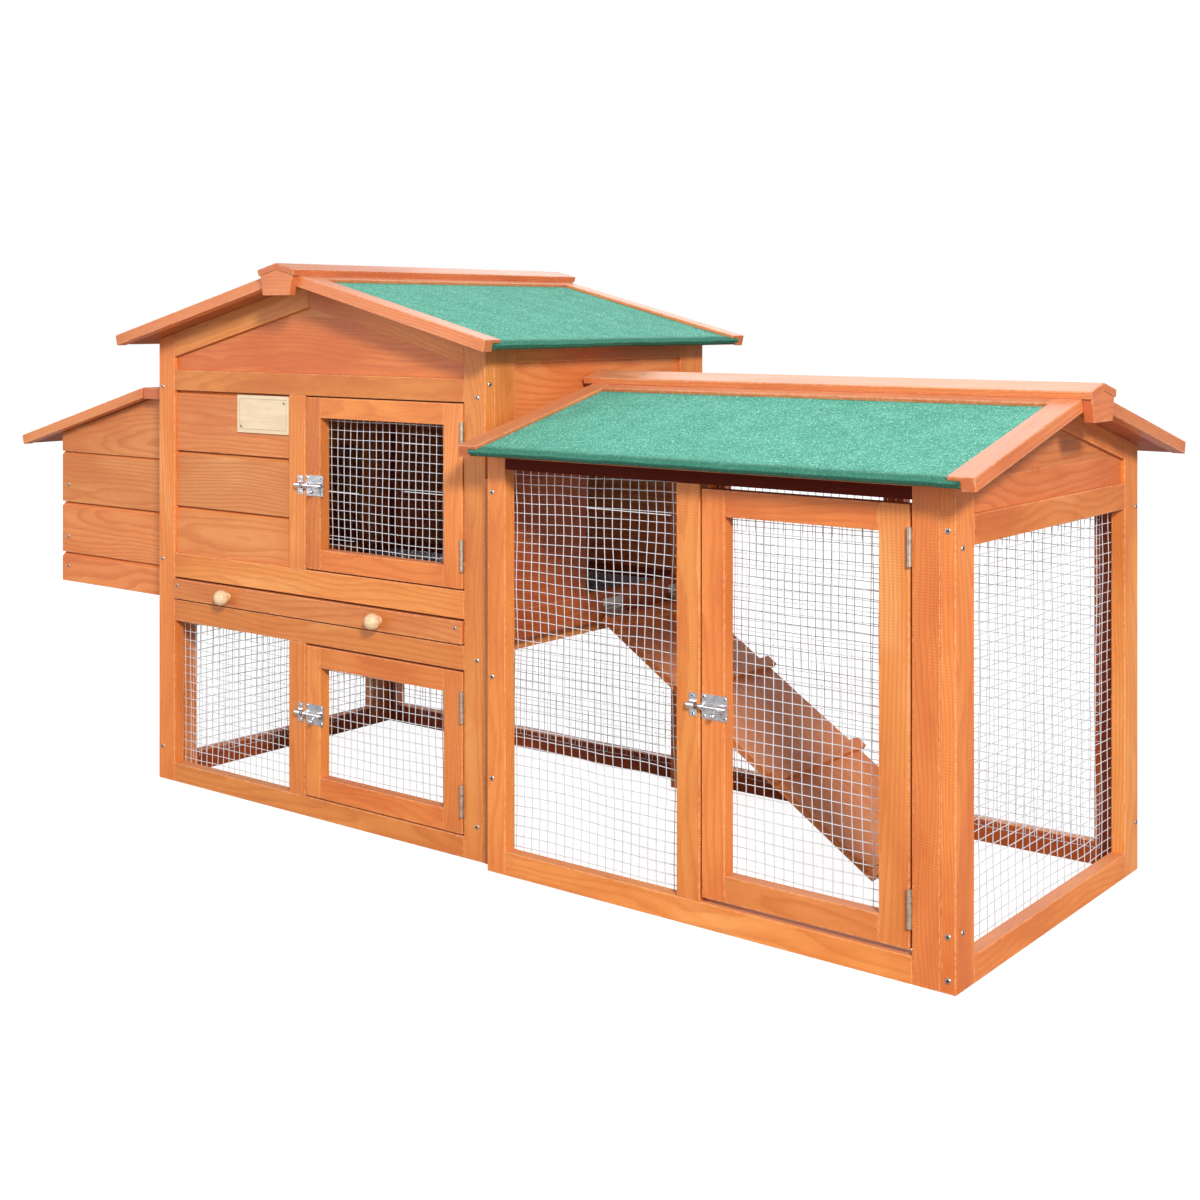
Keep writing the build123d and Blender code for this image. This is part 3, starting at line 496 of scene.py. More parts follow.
metals = {
    # bright colour, dull colour, roughness, flakes in a metre, how dull, how metallic
    "zinc": ((0.86, 0.87, 0.90), (0.46, 0.48, 0.52), 0.24, 620.0, 0.60, 1.0),
    "wire": ((0.80, 0.81, 0.85), (0.56, 0.58, 0.62), 0.36, 420.0, 0.45, 0.35),
    "sheet": ((0.66, 0.68, 0.70), (0.52, 0.54, 0.56), 0.42, 60.0, 0.30, 1.0),
    "hinge": ((0.70, 0.67, 0.60), (0.42, 0.38, 0.31), 0.40, 500.0, 0.65, 1.0),
    "screw": ((0.66, 0.62, 0.58), (0.34, 0.30, 0.27), 0.36, 900.0, 0.60, 1.0),
}


def makeMetal(name, bright, dull, roughness, flakes, dulled, metallic):
    material, t, shader = newMaterial(name, roughness, metallic)
    place = t.add("ShaderNodeTexCoord").outputs["Object"]
    flake = t.cells(place, flakes)[0][0]
    cloud = t.remap(t.noise(place, flakes * 0.35, 3.0, 0.6), 0.30, 0.72, 0.0, dulled)
    coat = t.mix(cloud, (*bright, 1), (*dull, 1))
    # Painted shade: the floor of a screw's cross slot is darkened to near black.
    t.plug(shader.inputs["Base Color"], t.mix(t.attribute("slotShade"), coat, (0.03, 0.025, 0.02, 1)))
    t.plug(shader.inputs["Roughness"], t.math("MULTIPLY_ADD", flake, 0.16, roughness - 0.05))
    t.plug(shader.inputs["Normal"], t.bump(t.noise(place, 900.0, 2.0), 0.25, 0.0002))
    return material


def makeKnobWood():
    material, t, shader = newMaterial("bare beech", 0.40)
    place = t.add("ShaderNodeTexCoord").outputs["Object"]
    streak = t.noise(t.vector("MULTIPLY", place, (60.0, 60.0, 420.0)), 1.0, 3.0, 0.6)
    base = t.mix(t.remap(streak, 0.35, 0.7), (0.800, 0.590, 0.360, 1), (0.660, 0.430, 0.230, 1))
    fleck = t.noise(t.vector("MULTIPLY", place, (900.0, 900.0, 180.0)), 1.0, 1.0)
    flecked = t.mix(t.remap(fleck, 0.62, 0.75, 0.0, 0.5), base, (0.42, 0.24, 0.11, 1))
    t.plug(shader.inputs["Base Color"], flecked)
    t.plug(shader.inputs["Normal"], t.bump(streak, 0.2, 0.0002))
    return material


def makePlaquePaint():
    material, t, shader = newMaterial("cream plaque", 0.5)
    place = t.add("ShaderNodeTexCoord").outputs["Object"]
    cloud = t.noise(t.vector("MULTIPLY", place, (20.0, 20.0, 120.0)), 1.0, 3.0, 0.6)
    base = t.mix(t.remap(cloud, 0.3, 0.7), (0.830, 0.660, 0.450, 1), (0.740, 0.570, 0.370, 1))
    # Painted shade: the flat border groove is darkened as if shaded.
    line = t.by(t.attribute("groove"), 0.75)
    t.plug(shader.inputs["Base Color"], t.mix(line, base, (0.34, 0.22, 0.12, 1)))
    t.plug(shader.inputs["Normal"], t.bump(cloud, 0.15, 0.0002))
    return material


materials = {name: makeWood(name, stain) for name, stain in stains.items()}
materials |= {name: makeMetal(name, *look) for name, look in metals.items()}
materials["felt"] = makeFelt()
materials["knob"] = makeKnobWood()
materials["plaque"] = makePlaquePaint()
print("materials ready:", len(materials))


# The closed solids of a CAD node, each as a list of triangles of points.
def solidsOf(node):
    mesh = nodes[node].data
    solids, current, unmatched = [], [], {}
    for polygon in mesh.polygons:
        points = [mesh.vertices[v].co.copy() for v in polygon.vertices]
        keys = [tuple(round(c * 1e5) for c in point) for point in points]
        current.append(points)
        for a, b in zip(keys, keys[1:] + keys[:1]):
            if a == b:
                continue
            if unmatched.get((b, a), 0) > 0:
                unmatched[(b, a)] -= 1
                if not unmatched[(b, a)]:
                    del unmatched[(b, a)]
            else:
                unmatched[(a, b)] = unmatched.get((a, b), 0) + 1
        if not unmatched:
            solids.append(current)
            current = []
    if current:
        solids.append(current)
    return solids


# One solid as a clean mesh of flat faces.
def toBmesh(triangles):
    bm = bmesh.new()
    for points in triangles:
        bm.faces.new([bm.verts.new(point) for point in points])
    bmesh.ops.remove_doubles(bm, verts=bm.verts, dist=1e-5)
    bmesh.ops.dissolve_degenerate(bm, edges=bm.edges, dist=1e-6)
    bmesh.ops.dissolve_limit(bm, angle_limit=math.radians(1.0), verts=bm.verts, edges=bm.edges)
    bm.normal_update()
    return bm


# Along the longest edge, across, and through the widest face beside it.
def boardAxes(bm):
    longest = max(bm.edges, key=lambda e: round(e.calc_length(), 5))
    along = (longest.verts[1].co - longest.verts[0].co).normalized()
    if max(along, key=abs) < 0:
        along.negate()
    beside = [f for f in bm.faces if abs(f.normal.dot(along)) < 0.1]
    through = max(beside, key=lambda f: round(f.calc_area(), 7)).normal.copy()
    through = (through - along * through.dot(along)).normalized()
    return along, through.cross(along).normalized(), through


# Collects finished boards into one piece, with the attributes that the wood reads.
class Joiner:

    def __init__(self, name):
        self.name = name
        self.points, self.faces = [], []
        self.place, self.half, self.board, self.end, self.tone = [], [], [], [], []

    def addBoard(self, bm, dice, easing, toneOf):
        along, across, through = boardAxes(bm)
        coords = [(v.co.dot(along), v.co.dot(across), v.co.dot(through)) for v in bm.verts]
        low = [min(c[i] for c in coords) for i in range(3)]
        high = [max(c[i] for c in coords) for i in range(3)]
        middle = [(a + b) / 2 for a, b in zip(low, high)]
        half = tuple((b - a) / 2 for a, b in zip(low, high))
        board = dice.random()
        corners = [v.co.copy() for v in bm.verts]
        floorZ, topZ = min(c.z for c in corners), max(c.z for c in corners)
        sharp = [e for e in bm.edges if len(e.link_faces) == 2 and e.calc_face_angle(0) > math.radians(20)]
        bmesh.ops.bevel(bm, geom=sharp, offset=min(easing, min(half) * 0.6), offset_type="OFFSET", segments=2,
                        profile=0.6, affect="EDGES", clamp_overlap=True)
        bm.normal_update()
        start = len(self.points)
        bm.verts.index_update()
        for v in bm.verts:
            self.points.append(v.co.copy())
            self.place.append((v.co.dot(along) - middle[0], v.co.dot(across) - middle[1],
                               v.co.dot(through) - middle[2]))
            self.half.append(half)
            self.board.append(board)
        for f in bm.faces:
            self.faces.append([start + v.index for v in f.verts])
            self.end.extend([1.0 if abs(f.normal.dot(along)) > 0.8 else 0.0] * len(f.verts))
            self.tone.extend([toneOf(f.normal, floorZ, topZ, half)] * len(f.verts))
        bm.free()

    def build(self, material):
        mesh = bpy.data.meshes.new(self.name)
        mesh.from_pydata(self.points, [], self.faces)
        for name, values in (("place", self.place), ("half", self.half)):
            layer = mesh.attributes.new(name, "FLOAT_VECTOR", "POINT")
            layer.data.foreach_set("vector", [c for value in values for c in value])
        layer = mesh.attributes.new("board", "FLOAT", "POINT")
        layer.data.foreach_set("value", self.board)
        for name, values in (("endGrain", self.end), ("tone", self.tone)):
            layer = mesh.attributes.new(name, "FLOAT", "CORNER")
            layer.data.foreach_set("value", values)
        return addPiece(self.name, mesh, material)


def addPiece(name, mesh, material=None):
    if material:
        mesh.materials.append(material)
    piece = bpy.data.objects.new(name, mesh)
    bpy.context.scene.collection.objects.link(piece)
    return piece


# The closing calls of a piece that stands for one CAD node.
def finish(piece, node, slot):
    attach(piece, nodes[node]["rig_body"])
    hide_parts(node)


# Painted shade: these values darken and redden the tone attribute of boards where shade falls on them.
paintedShades = {
    "header": 0.15,       # painted shade: the strip under the run's eave is darkened as if in the eave's shadow
    "inward": 0.52,       # painted shade on faces that look into the hutch
    "sheltered": 0.62,    # painted shade on the house wall under the run's roof
    "shelterZ": 0.33,
    "gable": 0.90,
    "headerZ": 0.510,
    "boardHalf": 0.0075,
}


def plainTone(normal, floorZ, topZ, half):
    return 1.0


# Painted eave shadow on the run's header strip.
def headerTone(normal, floorZ, topZ, half):
    return paintedShades["header"] if floorZ > paintedShades["headerZ"] else 1.0


# Painted shade on faces that look into the hutch.
def inwardTone(axis, sign):
    def toneOf(normal, floorZ, topZ, half):
        return paintedShades["inward"] if normal[axis] * sign > 0.5 else 1.0
    return toneOf


# The house wall's boards and low rails, where the run's roof shelters them, take painted shade.
def shelteredTone(normal, floorZ, topZ, half):
    low = topZ < paintedShades["shelterZ"] or half[2] < paintedShades["boardHalf"]
    return paintedShades["sheltered"] if low and normal.x > 0.5 and floorZ < paintedShades["headerZ"] else 1.0


# The gable boards sit in the shade of the roof's edge.
def gableTone(normal, floorZ, topZ, half):
    return paintedShades["gable"]


specialTones = {
    "gable_boards": gableTone,
    "house_side_frames": shelteredTone,
    "right_wall_boards": shelteredTone,
    "run_front_frame": headerTone,
    "house_rear_frame": inwardTone(1, -1),
    "run_rear_frame": inwardTone(1, -1),
    "run_end_frame": inwardTone(0, -1),
}

woodwork = {
    "frame timber": dict(easing=0.0011, slot="timber", nodes=[
        "house_front_frame", "house_rear_frame", "house_side_frames", "run_front_frame",
        "run_rear_frame", "run_end_frame", "upper_door_frame", "lower_door_frame", "run_door_frame",
        "gable_rakes", "ramp_cleats", "tray_runners"
    ]),
    "cladding boards": dict(easing=0.0009, slot="boards", nodes=[
        "house_front_boards", "house_rear_boards", "left_wall_boards", "right_wall_boards",
        "gable_boards", "nest_box", "tray_front", "ramp_board"
    ]),
    "roof trim": dict(easing=0.0012, slot="trim", nodes=[
        "barge_boards", "ridge_caps", "ridge_blocks", "ridge_battens", "nest_lid_trim", "nest_strip"
    ]),
    "hidden boards": dict(easing=0.0006, slot="roof_board", nodes=[
        "house_roof_panels", "run_roof_panels", "nest_lid_panel"
    ]),
}


def makeBoards(node, stain, job, seed):
    dice = random.Random(seed)
    joiner = Joiner(node + ".wood")
    for triangles in solidsOf(node):
        joiner.addBoard(toBmesh(triangles), dice, job["easing"], specialTones.get(node, plainTone))
    finish(joiner.build(materials[stain]), node, job["slot"])


seed = 100
for stain, job in woodwork.items():
    for node in job["nodes"]:
        seed += 1
        makeBoards(node, stain, job, seed)
print("boards ready")


fittings = {
    "smoothBelow": 40,     # degrees
    "zinc": [
        "upper_latch_case", "lower_latch_case", "run_latch_case", "bolt_keepers", "upper_bolt",
        "lower_bolt", "run_bolt"
    ],
    "hinge": [
        "upper_door_leaves", "lower_door_leaves", "run_door_leaves", "frame_hinge_leaves", "hinge_pins",
        "nest_lid_leaves", "ramp_leaves"
    ],
    "sheet": ["tray_pan"],
}


# A CAD fitting with its round faces smooth and its corners sharp.
def makeFitting(node, metal, slot):
    whole = bmesh.new()
    for triangles in solidsOf(node):
        bm = toBmesh(triangles)
        bmesh.ops.triangulate(bm, faces=[f for f in bm.faces if len(f.verts) > 4])
        limit = math.radians(fittings["smoothBelow"])
        for face in bm.faces:
            face.smooth = True
        for edge in bm.edges:
            edge.smooth = len(edge.link_faces) == 2 and edge.calc_face_angle(0) < limit
        part = bpy.data.meshes.new("part")
        bm.to_mesh(part)
        bm.free()
        whole.from_mesh(part)
        bpy.data.meshes.remove(part)
    mesh = bpy.data.meshes.new(node + "." + metal)
    whole.to_mesh(mesh)
    whole.free()
    finish(addPiece(node + "." + metal, mesh, materials[metal]), node, slot)


for metal in ("zinc", "hinge", "sheet"):
    for node in fittings[metal]:
        makeFitting(node, metal, "tray" if metal == "sheet" else "hardware")
print("fittings ready")


# Runs a geometry tree on an empty mesh and returns a plain mesh.
def grow(tree, name, **values):
    carrier = bpy.data.objects.new(name + ".carrier", bpy.data.meshes.new(name))
    bpy.context.scene.collection.objects.link(carrier)
    modifier = carrier.modifiers.new("grow", "NODES")
    modifier.node_group = tree
    for item in tree.interface.items_tree:
        if item.item_type == "SOCKET" and item.in_out == "INPUT" and item.name in values:
            modifier[item.identifier] = values[item.name]
    bpy.context.view_layer.update()
    graph = bpy.context.evaluated_depsgraph_get()
    mesh = bpy.data.meshes.new_from_object(carrier.evaluated_get(graph), preserve_all_data_layers=True,
                                           depsgraph=graph)
    carrier.modifiers.remove(modifier)
    bpy.data.objects.remove(carrier)
    mesh.name = name
    return mesh


def newGeometryTree(name, inputs):
    tree = bpy.data.node_groups.new(name, "GeometryNodeTree")
    for label, kind, value in inputs:
        socket = tree.interface.new_socket(name=label, in_out="INPUT", socket_type="NodeSocket" + kind)
        if value is not None:
            socket.default_value = value
    tree.interface.new_socket(name="Geometry", in_out="OUTPUT", socket_type="NodeSocketGeometry")
    given = tree.nodes.new("NodeGroupInput").outputs
    result = tree.nodes.new("NodeGroupOutput").inputs
    return tree, Tree(tree), given, result


screw = {
    "radius": 0.0034,
    "rise": 0.0011,
    "slotLong": 0.62,      # arm of the cross, as a share of the radius
    "slotWide": 0.16,
    "slotDeep": 0.0009,
    "sides": 24,
    "latchRadius": 0.0021,
}


# A low domed head with a cross slot, facing +Z, with its underside at zero.
def makeScrewHead():
    bm = bmesh.new()
    sides, radius = screw["sides"], screw["radius"]

    def ring(share, z):
        return [bm.verts.new((radius * share * math.cos(math.tau * i / sides),
                              radius * share * math.sin(math.tau * i / sides), z)) for i in range(sides)]

    def band(lower, upper):
        for i in range(sides):
            j = (i + 1) % sides
            bm.faces.new((lower[i], lower[j], upper[j], upper[i]))

    long, wide = radius * screw["slotLong"], radius * screw["slotWide"]
    arm = [(long, -wide), (long, 0), (long, wide), (wide * 2.4, wide), (wide, wide), (wide, wide * 2.4)]
    outline = [(x * math.cos(turn) - y * math.sin(turn), x * math.sin(turn) + y * math.cos(turn))
               for turn in (0, math.pi / 2, math.pi, 3 * math.pi / 2) for x, y in arm]
    outline = outline[1:] + outline[:1]
    bottom, edge, shoulder = ring(1.0, 0.0), ring(1.0, screw["rise"] * 0.35), ring(0.86, screw["rise"] * 0.85)
    mouth = [bm.verts.new((x, y, screw["rise"])) for x, y in outline]
    slot = [bm.verts.new((x, y, screw["rise"] - screw["slotDeep"])) for x, y in outline]
    bm.faces.new(list(reversed(bottom)))
    for lower, upper in ((bottom, edge), (edge, shoulder), (shoulder, mouth), (mouth, slot)):
        band(lower, upper)
    floorFace = bm.faces.new(slot)
    bmesh.ops.triangulate(bm, faces=[floorFace])
    bm.normal_update()
    mesh = bpy.data.meshes.new("screw head")
    bm.to_mesh(mesh)
    bm.free()
    # Painted shade: marks the slot floor's points for darkening.
    layer = mesh.attributes.new("slotShade", "FLOAT", "POINT")
    deep = screw["rise"] - screw["slotDeep"] + 1e-6
    values = [1.0 if v.co.z < deep and v.co.xy.length < radius * 0.7 else 0.0 for v in mesh.vertices]
    layer.data.foreach_set("value", values)
    return mesh


def makeScrewTree():
    tree, t, given, result = newGeometryTree("screws", [
        ("Places", "Object", None), ("Head", "Object", None),
        ("Size", "Float", 1.0), ("Seed", "Int", 0), ("Metal", "Material", None)])
    places = t.add("GeometryNodeObjectInfo", Object=given["Places"])
    head = t.add("GeometryNodeObjectInfo", Object=given["Head"])
    facing = tree.nodes.new("GeometryNodeInputNamedAttribute")
    facing.data_type = "FLOAT_VECTOR"
    facing.inputs["Name"].default_value = "facing"
    align = tree.nodes.new("FunctionNodeAlignRotationToVector")
    align.axis = "Z"
    t.plug(align.inputs["Vector"], facing.outputs[0])
    spin = tree.nodes.new("FunctionNodeRandomValue")
    spin.data_type = "FLOAT"
    floats = [s for s in spin.inputs if s.type == "VALUE"]
    floats[0].default_value = 0.0
    floats[1].default_value = 1.57
    t.plug(spin.inputs["Seed"], given["Seed"])
    turn = [s for s in spin.outputs if s.type == "VALUE" and s.enabled][0]
    local = tree.nodes.new("FunctionNodeEulerToRotation")
    t.plug(local.inputs[0], t.join(0.0, 0.0, turn))
    rotate = tree.nodes.new("FunctionNodeRotateRotation")
    rotate.rotation_space = "LOCAL"
    t.plug(rotate.inputs[0], align.outputs[0])
    t.plug(rotate.inputs[1], local.outputs[0])
    copies = t.add("GeometryNodeInstanceOnPoints", Points=places.outputs["Geometry"],
                   Instance=head.outputs["Geometry"])
    t.plug(copies.inputs["Rotation"], rotate.outputs[0])
    t.plug(copies.inputs["Scale"], t.join(given["Size"], given["Size"], given["Size"]))
    real = t.add("GeometryNodeRealizeInstances", Geometry=copies.outputs["Instances"])
    coat = t.add("GeometryNodeSetMaterial", Geometry=real.outputs["Geometry"], Material=given["Metal"])
    t.plug(result["Geometry"], coat.outputs["Geometry"])
    return tree


screwTree = makeScrewTree()
headMesh = makeScrewHead()


# Screws at the given places, each a point on the surface and the way it faces.
def makeScrews(name, body, spots, metal, size=1.0, seed=1):
    points = bpy.data.meshes.new(name + ".places")
    points.from_pydata([spot for spot, _ in spots], [], [])
    layer = points.attributes.new("facing", "FLOAT_VECTOR", "POINT")
    layer.data.foreach_set("vector", [c for _, facing in spots for c in facing])
    placesObject = addPiece(name + ".places", points)
    headObject = addPiece(name + ".head", headMesh)
    mesh = grow(screwTree, name, Places=placesObject, Head=headObject, Size=size, Seed=seed,
                Metal=materials[metal])
    for helper in (placesObject, headObject):
        bpy.data.objects.remove(helper)
    piece = addPiece(name, mesh)
    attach(piece, body)
    return piece


def boxOf(triangles):
    points = [point for triangle in triangles for point in triangle]
    return [Vector(pick(p[i] for p in points) for i in range(3)) for pick in (min, max)]


# Centre and facing of each round head in a CAD node: it faces along its thinnest side.
def headSpots(node):
    spots = []
    for triangles in solidsOf(node):
        low, high = boxOf(triangles)
        size = high - low
        axis = min(range(3), key=lambda i: size[i])
        facing = Vector((0, 0, 0))
        facing[axis] = 1 if axis == 0 else -1
        spot = (low + high) / 2
        spot[axis] = low[axis] if facing[axis] > 0 else high[axis]
        spots.append((spot, facing))
    return spots


heads = makeScrews("screw_heads.steel", "hutch", headSpots("screw_heads"), "screw", 1.0, 3)
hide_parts("screw_heads")

forward = Vector((0, -1, 0))

latches = {
    "inset": 0.0032,       # from a plate's corner to its screw
    "plate": 0.0012,       # thickness of a plate
    "screwSize": screw["latchRadius"] / screw["radius"],
    "bodies": {"upper": "upper_door", "lower": "lower_door", "run": "run_door"},
}


def plateSpots(low, high, columns):
    inset, faceY = latches["inset"], high.y - latches["plate"]
    xs = (low.x + inset, high.x - inset) if columns == 2 else ((low.x + high.x) / 2,)
    return [(Vector((x, faceY, z)), forward) for x in xs for z in (low.z + inset, high.z - inset)]


for name, body in latches["bodies"].items():
    low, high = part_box(name + "_latch_case")
    makeScrews(name + "_latch_screws", body, plateSpots(low, high, 2), "zinc", latches["screwSize"], 5)
keeperSpots = []
for triangles in solidsOf("bolt_keepers"):
    low, high = boxOf(triangles)
    keeperSpots += plateSpots(low, high, 1)
makeScrews("keeper_screws", "hutch", keeperSpots, "zinc", latches["screwSize"], 6)


roofs = {
    "pitch": math.radians(14.0),
    "lidPitch": math.radians(15.2),
}

roofScrews = {
    "ridgeY": -0.004,       # of the run's roof
    "capTop": 0.6353,       # the run cap's peak
    "cap": (0.268, 0.018),  # place along the ridge, level distance down from it
    "feltNail": (0.862, 0.048),
    "scale": 0.85,
}


# A screw in the run's ridge cap by the house wall, and a felt nail hidden by the barge board.
def makeRoofScrews():
    slope = roofs["pitch"]
    facing = Vector((0, -math.sin(slope), math.cos(slope)))
    tops = {"cap": roofScrews["capTop"], "feltNail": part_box("run_roof_felt")[1].z}
    spots = []
    for name, top in tops.items():
        x, down = roofScrews[name]
        y = roofScrews["ridgeY"] - down
        spots.append((Vector((x, y, top - down * math.tan(slope))), facing))
    makeScrews("roof_screws", "hutch", spots, "screw", roofScrews["scale"], 11)


makeRoofScrews()
print("screws ready")


knob = {
    "ball": 0.0115,
    "stem": 0.0062,
    "stand": 0.0125,       # ball's centre in front of the board
    "turns": 36,
    "steps": 12,
    "flat": 0.94,          # the front half is a little flatter than a ball
    "screwDepth": 0.005,   # the node's thinner solids are its screws
}


# Two turned ball knobs on the tray's front.
def makeKnobs():
    ball, steps, turns = knob["ball"], knob["steps"], knob["turns"]
    opening = math.asin(knob["stem"] / ball)
    profile = [(knob["stem"] * 1.15, 0.0), (knob["stem"], 0.0018)]
    for i in range(steps + 1):
        angle = opening + (math.pi - opening) * i / steps
        flat = knob["flat"] if angle > math.pi / 2 else 1.0
        profile.append((ball * math.sin(angle), knob["stand"] - ball * flat * math.cos(angle)))
    bm = bmesh.new()
    spots = []
    for triangles in solidsOf("tray_knobs"):
        low, high = boxOf(triangles)
        centre = Vector(((low.x + high.x) / 2, high.y, (low.z + high.z) / 2))
        if high.y - low.y < knob["screwDepth"]:
            spots.append((centre, forward))
            continue
        rings = []
        for radius, out in profile[:-1]:
            rings.append([])
            for i in range(turns):
                turn = math.tau * i / turns
                x, z = centre.x + radius * math.cos(turn), centre.z + radius * math.sin(turn)
                rings[-1].append(bm.verts.new((x, centre.y - out, z)))
        tip = bm.verts.new((centre.x, centre.y - profile[-1][1], centre.z))
        for lower, upper in zip(rings, rings[1:]):
            for i in range(turns):
                j = (i + 1) % turns
                bm.faces.new((lower[i], lower[j], upper[j], upper[i]))
        for i in range(turns):
            bm.faces.new((rings[-1][i], rings[-1][(i + 1) % turns], tip))
        bm.faces.new(list(reversed(rings[0])))
    bmesh.ops.recalc_face_normals(bm, faces=bm.faces)
    for face in bm.faces:
        face.smooth = len(face.verts) < 5
    mesh = bpy.data.meshes.new("tray_knobs.beech")
    bm.to_mesh(mesh)
    bm.free()
    finish(addPiece("tray_knobs.beech", mesh, materials["knob"]), "tray_knobs", "knob")
    makeScrews("tray_screws", "tray", spots, "screw", 0.8, 8)


makeKnobs()

plaque = {
    "border": 0.0050,      # from the edge to the groove
    "groove": 0.0007,
    "nail": 0.0095,        # from the corner to a nail
}


# A blank nameplate with a flat border groove darkened by painted shade, and two nails.
def makePlaque():
    low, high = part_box("plaque")
    bm = bmesh.new()
    inset = plaque["border"]
    loops = []
    for step in (0.0, inset, inset + plaque["groove"]):
        loops.append([bm.verts.new((x, low.y, z)) for x, z in (
            (low.x + step, low.z + step), (high.x - step, low.z + step), (high.x - step, high.z - step),
            (low.x + step, high.z - step))])
    back = [bm.verts.new((v.co.x, high.y, v.co.z)) for v in loops[0]]
    faces = []
    for outer, inner in zip(loops, loops[1:]):
        for i in range(4):
            faces.append(bm.faces.new((outer[i], outer[(i + 1) % 4], inner[(i + 1) % 4], inner[i])))
    bm.faces.new(loops[-1])
    for i in range(4):
        bm.faces.new((back[i], back[(i + 1) % 4], loops[0][(i + 1) % 4], loops[0][i]))
    bm.faces.new(list(reversed(back)))
    bmesh.ops.recalc_face_normals(bm, faces=bm.faces)
    bm.faces.index_update()
    grooveFaces = {face.index for face in faces[4:]}
    mesh = bpy.data.meshes.new("plaque.painted")
    bm.to_mesh(mesh)
    bm.free()
    layer = mesh.attributes.new("groove", "FLOAT", "FACE")
    layer.data.foreach_set("value", [1.0 if p.index in grooveFaces else 0.0 for p in mesh.polygons])
    finish(addPiece("plaque.painted", mesh, materials["plaque"]), "plaque", "plaque")
    nail = plaque["nail"]
    spots = [(Vector((low.x + nail, low.y, low.z + nail)), forward),
             (Vector((high.x - nail, low.y, high.z - nail)), forward)]
    makeScrews("plaque_nails", "hutch", spots, "screw", 0.7, 9)


makePlaque()
print("knobs and plaque ready")


felt = {
    "thick": 0.002,
    "nose": 0.0046,        # radius of the rolled edge
    "overhang": 0.0040,    # the rolled edge stands this far past the boards
    "step": 0.010,
    "ripple": 0.0024,      # how far the rolled edge bulges
    "rollReach": 0.016,    # darker this far up from the edge
}


# Felt over one slope: a thin sheet with a soft rolled lower edge. The section runs down from
# the ridge, and place() turns a level distance, a height and a place along the eave to a point.
def addFelt(points, faces, rolled, reach, fall, slope, length, place, dice):
    nose, thick = felt["nose"], felt["thick"]
    cosine, sine = math.cos(slope), math.sin(slope)
    flatEnd = reach + felt["overhang"] - nose

    def onTop(d, depth):
        return (d - depth * sine, -d * math.tan(slope) - depth * cosine)

    outer = [(onTop(flatEnd * i / 30, 0), 0.0) for i in range(31)]
    hub = onTop(flatEnd, nose)
    for i in range(1, 9):
        turn = math.pi / 2 - slope - (math.pi / 2 + 0.9) * i / 8
        outer.append(((hub[0] + nose * math.cos(turn), hub[1] + nose * math.sin(turn)), 1.0))
    tailX, tailZ = outer[-1][0]
    outer.append(((tailX - 0.004, max(tailZ - 0.0015, -fall + 0.0003)), 1.0))
    inner = []
    for i, (p, mark) in enumerate(outer):
        before = outer[max(i - 1, 0)][0]
        after = outer[min(i + 1, len(outer) - 1)][0]
        direction = Vector((after[0] - before[0], after[1] - before[1])).normalized()
        inner.append(((p[0] - direction.y * thick, p[1] - direction.x * thick), mark))
    section = outer + list(reversed(inner))
    steps = max(8, round(length / felt["step"]))
    start = len(points)
    wobble = [dice.uniform(0, 1) for _ in range(steps + 3)]
    for s in range(steps + 1):
        shift = (wobble[s] + wobble[s + 1] + wobble[s + 2]) / 3 * felt["ripple"]
        for (d, z), mark in section:
            near = min(1.0, max(0.0, 1 - (flatEnd - d) / 0.03))
            points.append(place(d + shift * near, z + shift * near * 0.8, length * s / steps))
            rolled.append(max(mark, min(1.0, max(0.0, 1 - (flatEnd - d) / felt["rollReach"])) ** 2))
    count = len(section)
    for s in range(steps):
        for i in range(count):
            j = (i + 1) % count
            a, b = start + s * count, start + (s + 1) * count
            faces.append((a + i, a + j, b + j, b + i))
    faces.append([start + i for i in range(count)])
    faces.append([start + steps * count + i for i in reversed(range(count))])


# The ridge, reach and fall of a roof are read from its felt's box, where the ridge is at the top; the slope
# is given.
def makeFeltPiece(node, alongX, sides, slope, seed):
    low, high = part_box(node)
    dice = random.Random(seed)
    points, faces, rolled = [], [], []
    length = high.x - low.x if alongX else high.y - low.y
    fall = high.z - low.z
    for side in sides:
        if len(sides) == 2:
            ridge = (low.y + high.y) / 2 if alongX else (low.x + high.x) / 2
            reach = (high.y - low.y if alongX else high.x - low.x) / 2
        else:
            ridge, reach = high.x, high.x - low.x

        def place(d, z, along, side=side, ridge=ridge):
            if alongX:
                return (low.x + along, ridge + side * d, high.z + z)
            return (ridge + side * d, low.y + along, high.z + z)

        addFelt(points, faces, rolled, reach, fall, slope, length, place, dice)
    mesh = bpy.data.meshes.new(node + ".felt")
    mesh.from_pydata(points, [], faces)
    layer = mesh.attributes.new("rolled", "FLOAT", "POINT")
    layer.data.foreach_set("value", rolled)
    bm = bmesh.new()
    bm.from_mesh(mesh)
    bmesh.ops.recalc_face_normals(bm, faces=bm.faces)
    for face in bm.faces:
        face.smooth = len(face.verts) == 4
    bm.to_mesh(mesh)
    bm.free()
    finish(addPiece(node + ".felt", mesh, materials["felt"]), node, "felt")


makeFeltPiece("house_roof_felt", False, (-1, 1), roofs["pitch"], 21)
makeFeltPiece("run_roof_felt", True, (-1, 1), roofs["pitch"], 22)
makeFeltPiece("nest_lid_felt", False, (-1,), roofs["lidPitch"], 23)
print("felt ready")


